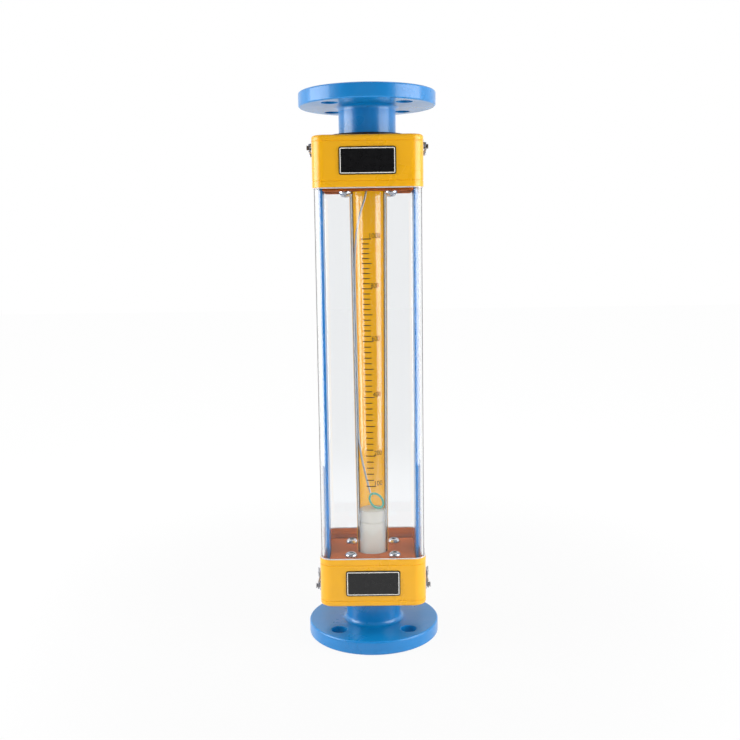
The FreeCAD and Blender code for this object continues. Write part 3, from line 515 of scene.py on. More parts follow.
    def fit(self, finish: "Finish", body: str, *stands_for: str) -> bpy.types.Object:
        """Dress the piece and fit it to the meter.

        Args:
            finish: Its finish.
            body: CAD body that it rides on.
            stands_for: CAD nodes that it stands for.

        Returns:
            The finished object.
        """
        self.piece.data.materials.clear()
        self.piece.data.materials.append(finish.material())
        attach(self.piece, body)
        if stands_for:
            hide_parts(*stands_for)
        log.info("%s: %d faces", self.piece.name, len(self.piece.data.polygons))
        return self.piece


def rounded_block(
    name: str, low: Sequence[float], high: Sequence[float], corner: float, segments: int = 14
) -> Workpiece:
    """Block with rounded upright edges.

    Args:
        name: Name of the piece.
        low: Lowest corner.
        high: Highest corner.
        corner: Radius of the upright edges.
        segments: Number of steps round each of them.

    Returns:
        The block.
    """
    work = Workpiece.block(name, low, high)
    return work.softened(corner, segments, 0, lambda middle, along: abs(along.z) > SQUARE)


def arc(
    middle: tuple[float, float], radius: float, start: float, stop: float, steps: int = 7
) -> Profile:
    """Corners of a rounded stretch of a profile.

    Args:
        middle: Centre of the rounding, as radius and depth.
        radius: Its radius.
        start: Angle at which it starts, in degrees.
        stop: Angle at which it ends, in degrees.
        steps: Number of steps.

    Returns:
        Its corners in order.
    """
    angles = [math.radians(start + (stop - start) * step / steps) for step in range(steps + 1)]
    return [(middle[0] + radius * math.cos(a), middle[1] + radius * math.sin(a)) for a in angles]


# ---------------------------------------------------------------- finishes


class Graph:
    """Shorthand for laying out one node tree."""

    def __init__(self, tree: bpy.types.NodeTree) -> None:
        """Clear a node tree and work on it.

        Args:
            tree: The tree.
        """
        self.tree = tree
        tree.nodes.clear()

    def feed(self, node: bpy.types.Node, given: dict[str | int, object]) -> bpy.types.Node:
        """Fill sockets of a node, each from another socket or with a plain value.

        Args:
            node: The node.
            given: What goes into each socket, by name or number.

        Returns:
            The node.
        """
        for name, source in given.items():
            if isinstance(source, Socket):
                self.tree.links.new(source, node.inputs[name])
            else:
                node.inputs[name].default_value = source
        return node

    def node(self, kind: str, given: dict | None = None, **settings: object) -> bpy.types.Node:
        """Add a node.

        Args:
            kind: Its type.
            given: What goes into each socket, by name or number.
            settings: Its own settings.

        Returns:
            The node.
        """
        made = self.tree.nodes.new(kind)
        for name, setting in settings.items():
            setattr(made, name, setting)
        return self.feed(made, given or {})

    def maths(self, operation: str, *operands: object) -> Socket:
        """Result of a Math node."""
        given = dict(enumerate(operands))
        return self.node("ShaderNodeMath", given, operation=operation).outputs[0]

    def added(self, level: object, extra: object, share: float) -> Socket:
        """A level plus a share of another."""
        return self.maths("ADD", level, self.maths("MULTIPLY", extra, share))

    def off_axis(self, x: Socket, y: Socket) -> Socket:
        """Distance from the upright axis."""
        squares = [self.maths("POWER", part, 2.0) for part in (x, y)]
        return self.maths("SQRT", self.maths("ADD", *squares))

    def times(self, vector: object, factors: object) -> Socket:
        """A vector multiplied part by part."""
        given = {0: vector, 1: factors}
        return self.node("ShaderNodeVectorMath", given, operation="MULTIPLY").outputs[0]

    def parts(self, vector: object) -> Sockets:
        """The three parts of a vector."""
        return self.node("ShaderNodeSeparateXYZ", {0: vector}).outputs

    def noise(
        self, vector: object, scale: object, detail: float = 2, roughness: float = 0.5
    ) -> Socket:
        """Level of a cloudy pattern with so many swells to the metre."""
        given = {"Vector": vector, "Scale": scale, "Detail": detail, "Roughness": roughness}
        return self.node("ShaderNodeTexNoise", given).outputs[0]

    def remap(
        self, level: object, start: Range, stop: tuple[object, object], smooth: bool = False
    ) -> Socket:
        """Stretch a level from one range to another.

        Args:
            level: The level.
            start: Range that it has.
            stop: Range that it gets.
            smooth: Whether the ends of the range are eased.

        Returns:
            The new level.
        """
        given = {"Value": level, "From Min": start[0], "From Max": start[1]}
        given |= {"To Min": stop[0], "To Max": stop[1]}
        kind = "SMOOTHSTEP" if smooth else "LINEAR"
        return self.node("ShaderNodeMapRange", given, interpolation_type=kind).outputs[0]

    def blend(self, share: object, first: object, second: object) -> Socket:
        """Mix two colours."""
        given = {0: share, 6: first, 7: second}
        return self.node("ShaderNodeMix", given, data_type="RGBA").outputs[2]

    def between(self, share: object, first: object, second: object) -> Socket:
        """Mix two levels."""
        given = {0: share, 2: first, 3: second}
        return self.node("ShaderNodeMix", given, data_type="FLOAT").outputs[0]

    def bump(self, height: object, rise: float, normal: Socket | None = None) -> Socket:
        """Surface normal over a relief.

        Args:
            height: Level of the relief.
            rise: Height of a level of 1.
            normal: Normal that the relief stands on.

        Returns:
            The normal.
        """
        given = {"Height": height, "Distance": rise * MM, "Strength": 1.0}
        if normal is not None:
            given["Normal"] = normal
        return self.node("ShaderNodeBump", given).outputs[0]

    def effect(self, name: str, given: dict[str, object]) -> Sockets:
        """Outputs of a shared effect, placed with what goes into it."""
        group = bpy.data.node_groups[name]
        return self.node("ShaderNodeGroup", given, node_tree=group).outputs

    def pattern(self, name: str, place: Socket, scale: float) -> Socket:
        """Level of a shared pattern at a scale."""
        return self.effect(name, {"Vector": place, "Scale": scale})[0]

    def drift(self, place: Socket, colour: Colour, scale: float, amount: float) -> Sockets:
        """A colour that drifts a little from place to place, and the mask it follows."""
        given = {"Vector": place, "Colour": colour, "Scale": scale, "Amount": amount}
        return self.effect("colour_drift", given)


class Effect:
    """A pattern that several finishes share, as a node group."""

    def __init__(self, name: str, inputs: dict[str, str], outputs: dict[str, str]) -> None:
        """Make an empty group.

        Args:
            name: Name of the group.
            inputs: Socket type of each input.
            outputs: Socket type of each output.
        """
        tree = bpy.data.node_groups.new(name, "ShaderNodeTree")
        for way, sockets in (("INPUT", inputs), ("OUTPUT", outputs)):
            for label, kind in sockets.items():
                tree.interface.new_socket(label, in_out=way, socket_type=f"NodeSocket{kind}")
        self.graph = Graph(tree)
        self.given = self.graph.node("NodeGroupInput").outputs
        self.results = self.graph.node("NodeGroupOutput")

    def give(self, **results: Socket) -> None:
        """Put results out, by label."""
        self.graph.feed(self.results, results)


def build_effects() -> None:
    """Build the node groups that the finishes share."""
    scaled = {"Vector": "Vector", "Scale": "Float"}
    mask, height = {"Mask": "Float"}, {"Height": "Float"}

    tinted = {"Colour": "Color"}
    drift = Effect("colour_drift", scaled | tinted | {"Amount": "Float"}, tinted | mask)
    graph, given = drift.graph, drift.given
    cloud = graph.noise(given["Vector"], given["Scale"], 3, 0.55)
    even = graph.maths("MULTIPLY", graph.maths("SUBTRACT", cloud, 0.5), given["Amount"])
    shift = {"Value": graph.added(1.0, even, 2.0), "Color": given["Colour"]}
    drift.give(Colour=graph.node("ShaderNodeHueSaturation", shift).outputs[0], Mask=cloud)

    peel = Effect("orange_peel", scaled, height)
    graph, given = peel.graph, peel.given
    swell = graph.noise(given["Vector"], given["Scale"], 2, 0.45)
    finer = graph.noise(given["Vector"], graph.maths("MULTIPLY", given["Scale"], 3.7), 1, 0.4)
    peel.give(Height=graph.added(swell, finer, 0.25))

    lines = Effect("drawn_lines", {"Vector": "Vector", "Spacing": "Vector"}, mask | height)
    graph, given = lines.graph, lines.given
    grain = graph.noise(graph.times(given["Vector"], given["Spacing"]), 1.0, 4, 0.62)
    lines.give(Mask=graph.remap(grain, CLOUD, FULL), Height=grain)

    marks = Effect("handling_marks", scaled, mask)
    graph, given = marks.graph, marks.given
    strokes = []
    for turn, stretch in (
        (0.4, (1.0, 0.03, 0.05)),
        (-0.7, (0.05, 1.0, 0.03)),
        (1.2, (0.04, 0.06, 1.0)),
    ):
        spin = {"Vector": given["Vector"], "Rotation": (turn, turn * 0.6, turn * 1.7)}
        spun = graph.node("ShaderNodeMapping", spin).outputs[0]
        stroke = graph.noise(graph.times(spun, stretch), given["Scale"], 1, 0.5)
        strokes.append(graph.remap(stroke, (0.70, 0.76), FULL))
    both = graph.maths("MAXIMUM", strokes[0], strokes[1])
    marks.give(Mask=graph.maths("MAXIMUM", both, strokes[2]))

    turning = Effect("turning_marks", scaled, height)
    graph, given = turning.graph, turning.given
    x, y, z = graph.parts(given["Vector"])
    along = graph.maths("ADD", z, graph.off_axis(x, y))
    wobbly = graph.added(along, graph.noise(given["Vector"], 180.0, 2, 0.5), 0.0006)
    turning.give(Height=graph.maths("SINE", graph.maths("MULTIPLY", wobbly, given["Scale"])))


@dataclass(frozen=True)
class Finish:
    """What every finish has: its name, the record's material slot and its colour."""

    name: str
    slot: str
    colour: Colour

    def material(self) -> bpy.types.Material:
        """The finish as a material, mixed on its first use."""
        made = bpy.data.materials.get(self.name)
        if made is None:
            made = bpy.data.materials.new(self.name)
            made.use_nodes = True
            graph = Graph(made.node_tree)
            place = graph.node("ShaderNodeTexCoord").outputs["Object"]
            shader = graph.node("ShaderNodeBsdfPrincipled", self.mix(graph, place))
            graph.node("ShaderNodeOutputMaterial", {"Surface": self.surface(graph, shader)})
        return made

    def mix(self, graph: Graph, place: Socket) -> dict[str, object]:
        """What goes into the shader."""
        raise NotImplementedError

    def surface(self, graph: Graph, shader: bpy.types.Node) -> Socket:
        """What the surface shows."""
        return shader.outputs[0]


@dataclass(frozen=True)
class Enamel(Finish):
    """Gloss enamel over a casting or over sheet."""

    roughness: float = 0.3
    coat: float = 0.3
    drift: float = 0.05
    peel: float = 0.012
    casting: float = 0.0
    gloss: float = 0.5
    coat_roughness: float = 0.07
    wear: float = 0.08

    def mix(self, graph: Graph, place: Socket) -> dict[str, object]:
        """Colour with a slow drift, a wavy ground and orange peel under a clear coat."""
        drift = graph.drift(place, self.colour, 38.0, self.drift)
        marks = graph.pattern("handling_marks", place, 900.0)
        base = graph.remap(drift["Mask"], CLOUD, (self.roughness - 0.05, self.roughness + 0.06))
        ground = None
        if self.casting:
            ground = graph.bump(graph.noise(place, 85.0, 3, 0.5), self.casting)
        peel = graph.pattern("orange_peel", place, 420.0)
        return {
            "Base Color": drift["Colour"],
            "Roughness": graph.added(base, marks, self.wear),
            "Specular IOR Level": self.gloss,
            "Coat Weight": self.coat,
            "Coat Roughness": self.coat_roughness,
            "Normal": graph.bump(peel, self.peel, ground),
        }


@dataclass(frozen=True)
class Metal(Finish):
    """Bare or plated metal with drawn, brushed or turned lines."""

    roughness: Range
    spacing: tuple[float, float, float]
    relief: float = 0.004
    wear: float = 0.12

    def mix(self, graph: Graph, place: Socket) -> dict[str, object]:
        """Lines that change the gloss and stand a little proud, over a faint drift."""
        lines = graph.effect("drawn_lines", {"Vector": place, "Spacing": self.spacing})
        marks = graph.pattern("handling_marks", place, 1400.0)
        gloss = graph.remap(lines["Mask"], FULL, self.roughness)
        return {
            "Metallic": 1.0,
            "Base Color": graph.drift(place, self.colour, 240.0, 0.09)["Colour"],
            "Roughness": graph.added(gloss, marks, self.wear),
            "Normal": graph.bump(lines["Height"], self.relief),
        }


@dataclass(frozen=True)
class Plastic(Finish):
    """Plastic that light sinks into, with the fine marks of its mould or of the lathe."""

    swell: float = 320.0
    drift: float = 0.12
    roughness: Range = (0.24, 0.38)
    glow_share: float = 0.35
    glow_depth: float = 0.001
    glow_colour: tuple[float, float, float] = (0.6, 1.0, 0.9)
    marks: str = "orange_peel"
    marks_scale: float = 900.0
    relief: float = 0.01

    def mix(self, graph: Graph, place: Socket) -> dict[str, object]:
        """Clouded colour with light scattered under a soft gloss."""
        drift = graph.drift(place, self.colour, self.swell, self.drift)
        marks = graph.pattern(self.marks, place, self.marks_scale)
        return {
            "Base Color": drift["Colour"],
            "Roughness": graph.remap(drift["Mask"], CLOUD, self.roughness),
            "Subsurface Weight": self.glow_share,
            "Subsurface Radius": self.glow_colour,
            "Subsurface Scale": self.glow_depth,
            "Normal": graph.bump(marks, self.relief),
        }


@dataclass(frozen=True)
class Rubber(Finish):
    """Moulded black rubber."""

    roughness: float = 0.58
    bloom: Colour = paint(96, 98, 100)

    def mix(self, graph: Graph, place: Socket) -> dict[str, object]:
        """Matt black with a fine grain and a faint grey bloom."""
        cloud = graph.noise(place, 95.0, 4, 0.6)
        share = graph.remap(cloud, (0.5, 0.8), (0.0, 0.12))
        grain = graph.pattern("orange_peel", place, 1500.0)
        low, high = self.roughness - 0.07, self.roughness + 0.09
        return {
            "Base Color": graph.blend(share, self.colour, self.bloom),
            "Roughness": graph.remap(cloud, CLOUD, (low, high)),
            "Normal": graph.bump(grain, 0.02),
        }


@dataclass(frozen=True)
class Laminate(Finish):
    """Phenolic laminate: canvas on its faces, layers along its sawn edges."""

    dark: Colour
    threads: float = 9000.0
    layers: float = 11000.0

    def mix(self, graph: Graph, place: Socket) -> dict[str, object]:
        """Crossed threads on the faces and thin layers on the edges."""
        x, y, z = graph.parts(place)
        warp, weft = (
            graph.maths("SINE", graph.maths("MULTIPLY", part, self.threads)) for part in (x, y)
        )
        weave = graph.remap(graph.maths("MULTIPLY", warp, weft), (-1.0, 1.0), FULL)
        bent = graph.added(z, graph.noise(place, 240.0, 3, 0.6), 0.0011)
        level = graph.maths("SINE", graph.maths("MULTIPLY", bent, self.layers))
        normal = graph.node("ShaderNodeNewGeometry").outputs["Normal"]
        face = graph.remap(graph.maths("ABSOLUTE", graph.parts(normal)[2]), (0.55, 0.8), FULL)
        pattern = graph.between(face, graph.remap(level, (-1.0, 1.0), FULL), weave)
        cloud = graph.noise(place, 130.0, 4, 0.6)
        share = graph.added(graph.maths("MULTIPLY", pattern, 0.45), cloud, 0.6)
        return {
            "Base Color": graph.blend(share, self.colour, self.dark),
            "Roughness": graph.remap(cloud, CLOUD, (0.72, 0.9)),
            "Specular IOR Level": 0.12,
            "Normal": graph.bump(pattern, 0.02),
        }


@dataclass(frozen=True)
class Clear(Finish):
    """Clear glass or acrylic that lets light through to what stands behind it."""

    index: float
    # Edge colour that the clear surface is painted towards where it is seen edge-on: painted shade
    # for the dark lines along glass edges.
    rim: Colour
    rim_band: Range = (0.6, 0.9)
    marks: float = 0.04
    waviness: float = 0.002

    def mix(self, graph: Graph, place: Socket) -> dict[str, object]:
        """Polished surface with faint marks, the slow waviness of drawn stock, and painted shade:
        its colour turns to the edge colour where it is seen edge-on.
        """
        marks = graph.pattern("handling_marks", place, 700.0)
        tint = graph.drift(place, self.colour, 20.0, 0.004)["Colour"]
        # Painted shade: the colour darkens to the edge colour as the surface turns edge-on.
        facing = graph.node("ShaderNodeLayerWeight", {"Blend": 0.5}).outputs["Facing"]
        rim = graph.remap(facing, self.rim_band, FULL, smooth=True)
        wave = graph.noise(graph.times(place, (60.0, 60.0, 7.0)), 1.0, 2, 0.4)
        return {
            "Transmission Weight": 1.0,
            "IOR": self.index,
            "Base Color": graph.blend(rim, tint, self.rim),
            "Roughness": graph.maths("MULTIPLY", marks, self.marks),
            "Normal": graph.bump(wave, self.waviness),
        }

    def surface(self, graph: Graph, shader: bpy.types.Node) -> Socket:
        """The shader, with shadow rays let through."""
        shadow = graph.node("ShaderNodeLightPath").outputs["Is Shadow Ray"]
        open_way = graph.node("ShaderNodeBsdfTransparent", {"Color": PURE_WHITE})
        given = {0: shadow, 1: shader.outputs[0], 2: open_way.outputs[0]}
        return graph.node("ShaderNodeMixShader", given).outputs[0]


@dataclass(frozen=True)
class Ink(Finish):
    """Printed or fused colour on glass or plate, with an optional painted glow: emission that
    stands in for light shining through it from behind.
    """

    roughness: float = 0.35
    drift: float = 0.04
    glow: float = 0.0

    def mix(self, graph: Graph, place: Socket) -> dict[str, object]:
        """Even colour with the slight unevenness of a print, and its painted glow where it has one.
        """
        drift = graph.drift(place, self.colour, 260.0, self.drift)
        low, high = self.roughness - 0.06, self.roughness + 0.08
        grain = graph.pattern("orange_peel", place, 2200.0)
        shown = {
            "Base Color": drift["Colour"],
            "Roughness": graph.remap(drift["Mask"], CLOUD, (low, high)),
            "Normal": graph.bump(grain, 0.002),
        }
        # Painted light: emission in the print's own colour stands in for backlight.
        if self.glow:
            shown |= {"Emission Color": drift["Colour"], "Emission Strength": self.glow}
        return shown


CAST_BLUE = Enamel("gloss_blue_on_casting", "cast_blue", paint(6, 125, 196), casting=0.22)
BAR_BLUE = Enamel("gloss_blue_on_bar", "bar_blue", paint(6, 114, 186), peel=0.008)
CAP_YELLOW = Enamel(
    "gloss_yellow_on_sheet", "cap_yellow", paint(238, 173, 0), drift=0.03, peel=0.01
)
# Painted shade: dark amber on the caps' inner walls stands in for the shadow inside them.
CAP_INSIDE_SHADE = Enamel(
    "painted_shade_inside_cap", "cap_yellow", paint(214, 106, 14), roughness=0.85, coat=0.0, gloss=0.1
)
# The fifth value is the painted edge shade of the acrylic, a grey where it is seen edge-on.
WINDOW = Clear(
    "clear_acrylic", "window_clear", paint(253, 254, 255), 1.49, paint(176, 180, 186), marks=0.05
)
# The fifth value is the painted edge shade of the glass, a dark grey for its outline lines.
TUBE = Clear(
    "drawn_glass",
    "tube_glass",
    paint(252, 254, 253),
    1.474,
    paint(58, 62, 68),
    rim_band=(0.5, 0.64),
    marks=0.02,
    waviness=0.006,
)
WHITE = Plastic(
    "turned_fluoroplastic",
    "ptfe_white",
    paint(236, 230, 222),
    swell=120.0,
    drift=0.025,
    roughness=(0.36, 0.48),
    glow_share=0.12,
    glow_depth=0.0015,
    glow_colour=(1.0, 0.9, 0.8),
    marks="turning_marks",
    marks_scale=14000.0,
    relief=0.003,
)
SEAL = Plastic("clear_strip", "window_clear", paint(206, 204, 204))
LOOP_GREEN = Plastic("soft_green_plastic", "loop_green", paint(86, 186, 168))
PACKING = Rubber("packing_rubber", "packing_black", paint(24, 24, 25), roughness=0.7)
COLLAR = Rubber("collar_rubber", "collar_black", paint(22, 22, 24))
TURNED_STEEL = Metal(
    "turned_steel", "gland_steel", paint(196, 198, 202), (0.22, 0.42), spacing=(90, 90, 4200)
)
PLATED_STEEL = Metal(
    "plated_steel", "screw_steel", paint(206, 208, 214), (0.18, 0.36), spacing=(700, 700, 700)
)
LATCH_STEEL = Metal(
    "pressed_steel", "latch_steel", paint(168, 168, 172), (0.24, 0.44), spacing=(2600, 220, 2600)
)
WIRE_STEEL = Metal(
    "drawn_wire", "wire_steel", paint(206, 208, 212), (0.28, 0.46), spacing=(3800, 3800, 110)
)
LAMINATE = Laminate("phenolic_laminate", "laminate_brown", paint(206, 104, 22), paint(134, 60, 10))
PLATE_BLACK = Ink("satin_black_plate", "plate_black", paint(14, 14, 16), roughness=0.3)
PLATE_BORDER = Ink("plate_border", "plate_black", paint(232, 230, 222), roughness=0.4)
SCALE_INK = Ink("scale_black", "tube_glass", paint(6, 5, 5), roughness=0.5)
# The yellow strip's glow is painted light: emission standing in for light that comes through the
# enamel from behind.
TUBE_ENAMEL = Ink(
    "fused_yellow", "tube_glass", paint(243, 176, 8), roughness=0.22, drift=0.03, glow=0.68
)


# ---------------------------------------------------------------- pieces


@dataclass
class Fitting:
    """Cast end piece: drilled flange, neck, and the head that holds the stuffing box."""

    end: End
    rim: float = 57.5
    thickness: float = 12.0
    chamfer: float = 1.0
    neck: float = 24.0
    foot_fillet: float = 4.0
    head: float = 42.0
    head_thickness: float = 12.0
    head_fillet: float = 3.0
    socket: float = 19.0
    bore: float = 15.6
    recess: tuple[float, float] = (34.1, 2.5)
    bolt_circle: float = 85.0
    bolt_hole: float = 7.0
    mill: tuple[float, float] = (20.0, 100.0)
    overrun: float = 1.0
    edge: float = 0.4

    def profile(self) -> Profile:
        """Radius and depth of each corner, from the bore round the outside and back."""
        outer = self.end.depths("left_side_bar")[0]
        inner = outer + self.head_thickness
        floor = self.end.depths(f"{self.end.value}_stop")[0]
        reach, sink = self.recess
        foot = (self.neck + self.foot_fillet, self.thickness + self.foot_fillet)
        under = (self.neck + self.head_fillet, outer - self.head_fillet)
        return [
            (reach, 0),
            (self.rim - self.chamfer, 0),
            (self.rim, self.chamfer),
            (self.rim, self.thickness - self.chamfer),
            (self.rim - self.chamfer, self.thickness),
            *arc(foot, self.foot_fillet, 270, 180),
            *arc(under, self.head_fillet, 180, 90),
            (self.head, outer),
            (self.head, inner),
            (self.socket, inner),
            (self.socket, floor),
            (self.bore, floor),
            (self.bore, sink),
            (reach, sink),
        ]

    def build(self) -> None:
        """Turn the casting, mill its flats and drill its flange."""
        name = self.end.value
        corners = [(radius, self.end.z(depth)) for radius, depth in self.profile()]
        work = Workpiece.turned(f"{name}_cast_fitting", corners, sides=144)
        flat = -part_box("left_side_bar")[1].x / MM
        near = self.end.depths("left_side_bar")[0]
        reach = near + self.head_thickness + self.overrun
        bottom, top = sorted((self.end.z(near - self.overrun), self.end.z(reach)))
        width, half = self.mill[0], self.mill[1] / 2
        for low, high in ((flat, flat + width), (-flat - width, -flat)):
            work.cut_with(Workpiece.block("mill", (low, -half, bottom), (high, half, top)))
        place = self.bolt_circle / 2 * math.cos(math.pi / 4)
        middle = self.end.z(self.thickness / 2)
        for across in (-place, place):
            for back in (-place, place):
                work.drilled(self.bolt_hole, 3 * self.thickness, (across, back, middle), 56)
        work.softened(self.edge, 3, 40)
        work.smooth().fit(CAST_BLUE, BODY, f"{name}_fitting")


@dataclass
class Liner:
    """Fluoroplastic sleeve, turned out over the sealing face."""

    end: End
    bore: float = 12.5
    wall: float = 3.0
    flare: float = 34.0
    lip: float = 2.5
    edge: float = 0.5

    def build(self) -> None:
        """Turn the sleeve with its flare."""
        name = self.end.value
        far = self.end.depths(f"{name}_liner")[1]
        outer = self.bore + self.wall
        corners = [
            (self.bore, 0),
            (self.flare, 0),
            (self.flare, self.lip),
            (outer, self.lip),
            (outer, far),
            (self.bore, far),
        ]
        profile = [(radius, self.end.z(depth)) for radius, depth in corners]
        work = Workpiece.turned(f"{name}_flared_liner", profile)
        work.softened(self.edge, 3, 40).smooth().fit(WHITE, BODY, f"{name}_liner")


@dataclass
class Collar:
    """Rubber collar that the caps clamp, on the neck."""

    neck: float = 24.05
    rim: float = 34.5
    rim_height: float = 2.8
    web: float = 28.0
    inner: float = 32.0
    inner_height: float = 2.4
    edge: float = 0.7

    def build(self) -> None:
        """Mould the lower collar and turn a copy over for the upper end."""
        near, far = End.LOWER.depths("lower_collar")
        corners = [
            (self.neck, near),
            (self.rim, near),
            (self.rim, near + self.rim_height),
            (self.web, near + self.rim_height),
            (self.web, far - self.inner_height),
            (self.inner, far - self.inner_height),
            (self.inner, far),
            (self.neck, far),
        ]
        lower = Workpiece.turned("lower_rubber_collar", corners)
        lips = self.web + 1
        lower.softened(self.edge, 4, 40, lambda middle, along: math.hypot(*middle.xy) > lips)
        for end, work in lower.both_ends("rubber_collar"):
            work.smooth().fit(COLLAR, BODY, f"{end.value}_collar")


def middle_height() -> float:
    """Height halfway between the two sealing faces."""
    return (End.LOWER.face + End.UPPER.face) / 2


@dataclass
class Cover:
    """Pressed yellow caps and the clear shell between them, in front and rear halves."""

    corner: float = 11.0
    end_rounding: float = 2.2
    cap_wall: float = 1.2
    bead_inset: float = 5.0
    bead_width: float = 0.9
    bead_depth: float = 0.35
    bead_lines: tuple[float, ...] = (-0.5, -0.2, 0.2, 0.5)
    collar_hole: float = 28.05
    punch: float = 8.0
    overrun: float = 1.0
    window_wall: float = 2.0
    window_fit: float = 1.3
    window_gap: float = 0.05
    split: float = 0.3
    cap_edge: float = 0.3
    window_edge: float = 0.35
    seal_height: float = 0.9
    seal_wall: float = 1.1
    seal_edge: float = 0.25
    seal_inset: float = 0.1
    flat_angle: float = 60.0

    def halve(self, whole: Workpiece, name: str) -> dict[Half, Workpiece]:
        """Part a shell at the middle plane.

        Args:
            whole: The shell, which becomes the front half.
            name: What follows the half's name.

        Returns:
            The front and the rear half.
        """
        rear = whole.copied(f"rear_{name}")
        rear.sliced((0, self.split / 2, 0), (0, -1, 0))
        whole.sliced((0, -self.split / 2, 0), (0, 1, 0))
        whole.piece.name = f"front_{name}"
        return {Half.FRONT: whole, Half.REAR: rear}

    def cap_shell(self) -> Workpiece:
        """Press the lower cap in one piece, open at its top."""
        front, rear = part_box("lower_front_cap"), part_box("lower_rear_cap")
        width, depth = front[1].x / MM, rear[1].y / MM
        closed, opened = front[0].z / MM, front[1].z / MM
        work = rounded_block("cap", (-width, -depth, closed), (width, depth, opened), self.corner)
        work.softened(self.end_rounding, 6, 0, lambda middle, along: abs(middle.z - closed) < NEAR)
        work.opened(lambda middle, normal: normal.z > SQUARE)
        for level in (closed + self.bead_inset, opened - self.bead_inset):
            offsets = [self.bead_width * share for share in self.bead_lines]
            work.scored([(0, 0, level + offset) for offset in offsets], (0, 0, 1))
            with work.editing(Pick.EDGE):
                work.select(
                    lambda middle, along: abs(middle.z - level) < 0.3 * self.bead_width
                )
                shrink = (1 - self.bead_depth / width, 1 - self.bead_depth / depth, 1)
                bpy.ops.transform.resize(value=shrink, center_override=(0, 0, level * MM))
        work.thickened(self.cap_wall, -1)
        return work.drilled(self.collar_hole, self.punch, (0, 0, closed), 128)

    def prime(self, cap: bpy.types.Object) -> None:
        """Paint the inner faces of a cap's walls dark amber: painted shade for the shadow inside
        the cap.
        """
        cap.data.materials.append(CAP_INSIDE_SHADE.material())
        for face in cap.data.polygons:
            inward = face.normal.xy.dot(face.center.xy.normalized())
            if inward < -0.3:
                face.material_index = 1

    def rim_seal(self) -> Workpiece:
        """Mould the clear strip that lies on the lower cap's rim, in one piece."""
        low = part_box("lower_front_cap")[1].z / MM
        top = low + self.seal_height
        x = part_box("front_window")[1].x / MM + self.window_gap
        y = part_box("rear_window")[1].y / MM + self.window_gap
        wide, deep = x + self.seal_wall, y + self.seal_wall
        outer = self.corner - self.seal_inset
        work = rounded_block("seal", (-wide, -deep, low), (wide, deep, top), outer)
        corner = self.corner - self.window_fit + self.window_gap
        below, above = low - self.overrun, top + self.overrun
        return work.cut_with(rounded_block("hole", (-x, -y, below), (x, y, above), corner))

    def quarters(
        self, whole: Workpiece, label: str, edge: float
    ) -> Iterator[tuple[End, Half, Workpiece]]:
        """Part a lower shell in halves and make their twins for the upper end.

        Args:
            whole: The lower shell.
            label: What follows the end's and the half's names.
            edge: Width of the softened edges.

        Returns:
            Each end and half with its piece, one after another.
        """
        for half, lower in self.halve(whole, label).items():
            lower.softened(edge, 2, self.flat_angle)
            for end, work in lower.both_ends(f"{half.value}_{label}"):
                yield end, half, work.smooth(30)

    def build(self) -> None:
        """Make both caps' halves and both windows."""
        for end, half, cap in self.quarters(self.cap_shell(), "pressed_cap", self.cap_edge):
            self.prime(cap.fit(CAP_YELLOW, BODY, f"{end.value}_{half.value}_cap"))
        for _, _, seal in self.quarters(self.rim_seal(), "rim_seal", self.seal_edge):
            seal.fit(SEAL, BODY)
        low, high = (
            [part / MM for part in corner]
            for corner in (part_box("front_window")[0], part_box("rear_window")[1])
        )
        shell = rounded_block("window", low, high, self.corner - self.window_fit, 20)
        shell.opened(lambda middle, normal: abs(normal.z) > SQUARE)
        shell.thickened(self.window_wall, -1)
        for half, pane in self.halve(shell, "window").items():
            pane.piece.name = f"{half.value}_clear_cover"
            pane.softened(self.window_edge, 2, self.flat_angle).smooth(30)
            pane.fit(WINDOW, BODY, f"{half.value}_window")


@dataclass
class Nameplate:
    """Bare black plate with a thin raised border."""

    corner: float = 1.9
    margin: float = 0.8
    border: float = 0.7
    rise: float = 0.03
    edge: float = 0.12
    facing: float = -0.99

    def build(self) -> None:
        """Cut, border and fit the plate of each end."""
        for end in End:
            low, high = (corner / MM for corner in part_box(f"{end.value}_nameplate"))
            name = f"{end.value}_bordered_plate"
            work = Workpiece.block(name, low, high)
            work.softened(self.corner, 6, 0, lambda middle, along: abs(along.y) > SQUARE)
            work.softened(self.edge, 2, 60, lambda middle, along: middle.y < low.y + NEAR)
            work.piece.data.materials.append(PLATE_BLACK.material())
            with work.editing(Pick.FACE):
                work.select(lambda middle, normal: normal.y < self.facing)
                bpy.ops.mesh.inset(thickness=self.margin * MM)
                bpy.ops.mesh.inset(thickness=self.border * MM)
            centre, reach = (low + high) / 2, (high - low) / 2
            with work.editing(Pick.FACE):
                work.select(lambda middle, normal: self.on_border(middle - centre, normal, reach))
                step = (0, -self.rise * MM, 0)
                bpy.ops.mesh.extrude_region_move(TRANSFORM_OT_translate={"value": step})
            work.smooth(30)
            piece = work.fit(PLATE_BLACK, BODY, f"{end.value}_nameplate")
            piece.data.materials.append(PLATE_BORDER.material())
            for face in piece.data.polygons:
                if face.normal.y < self.facing and face.center.y / MM < low.y - self.rise / 2:
                    face.material_index = 1

    def on_border(self, place: Vector, normal: Vector, reach: Vector) -> bool:
        """Whether a front face lies between the two insets.

        Args:
            place: Its middle, from the plate's middle.
            normal: Its normal.
            reach: Half the plate's size.

        Returns:
            True on the border.
        """
        if normal.y > self.facing:
            return False
        inset = min(reach.x - abs(place.x), reach.z - abs(place.z))
        outer = self.edge + self.margin
        return outer < inset < outer + self.border


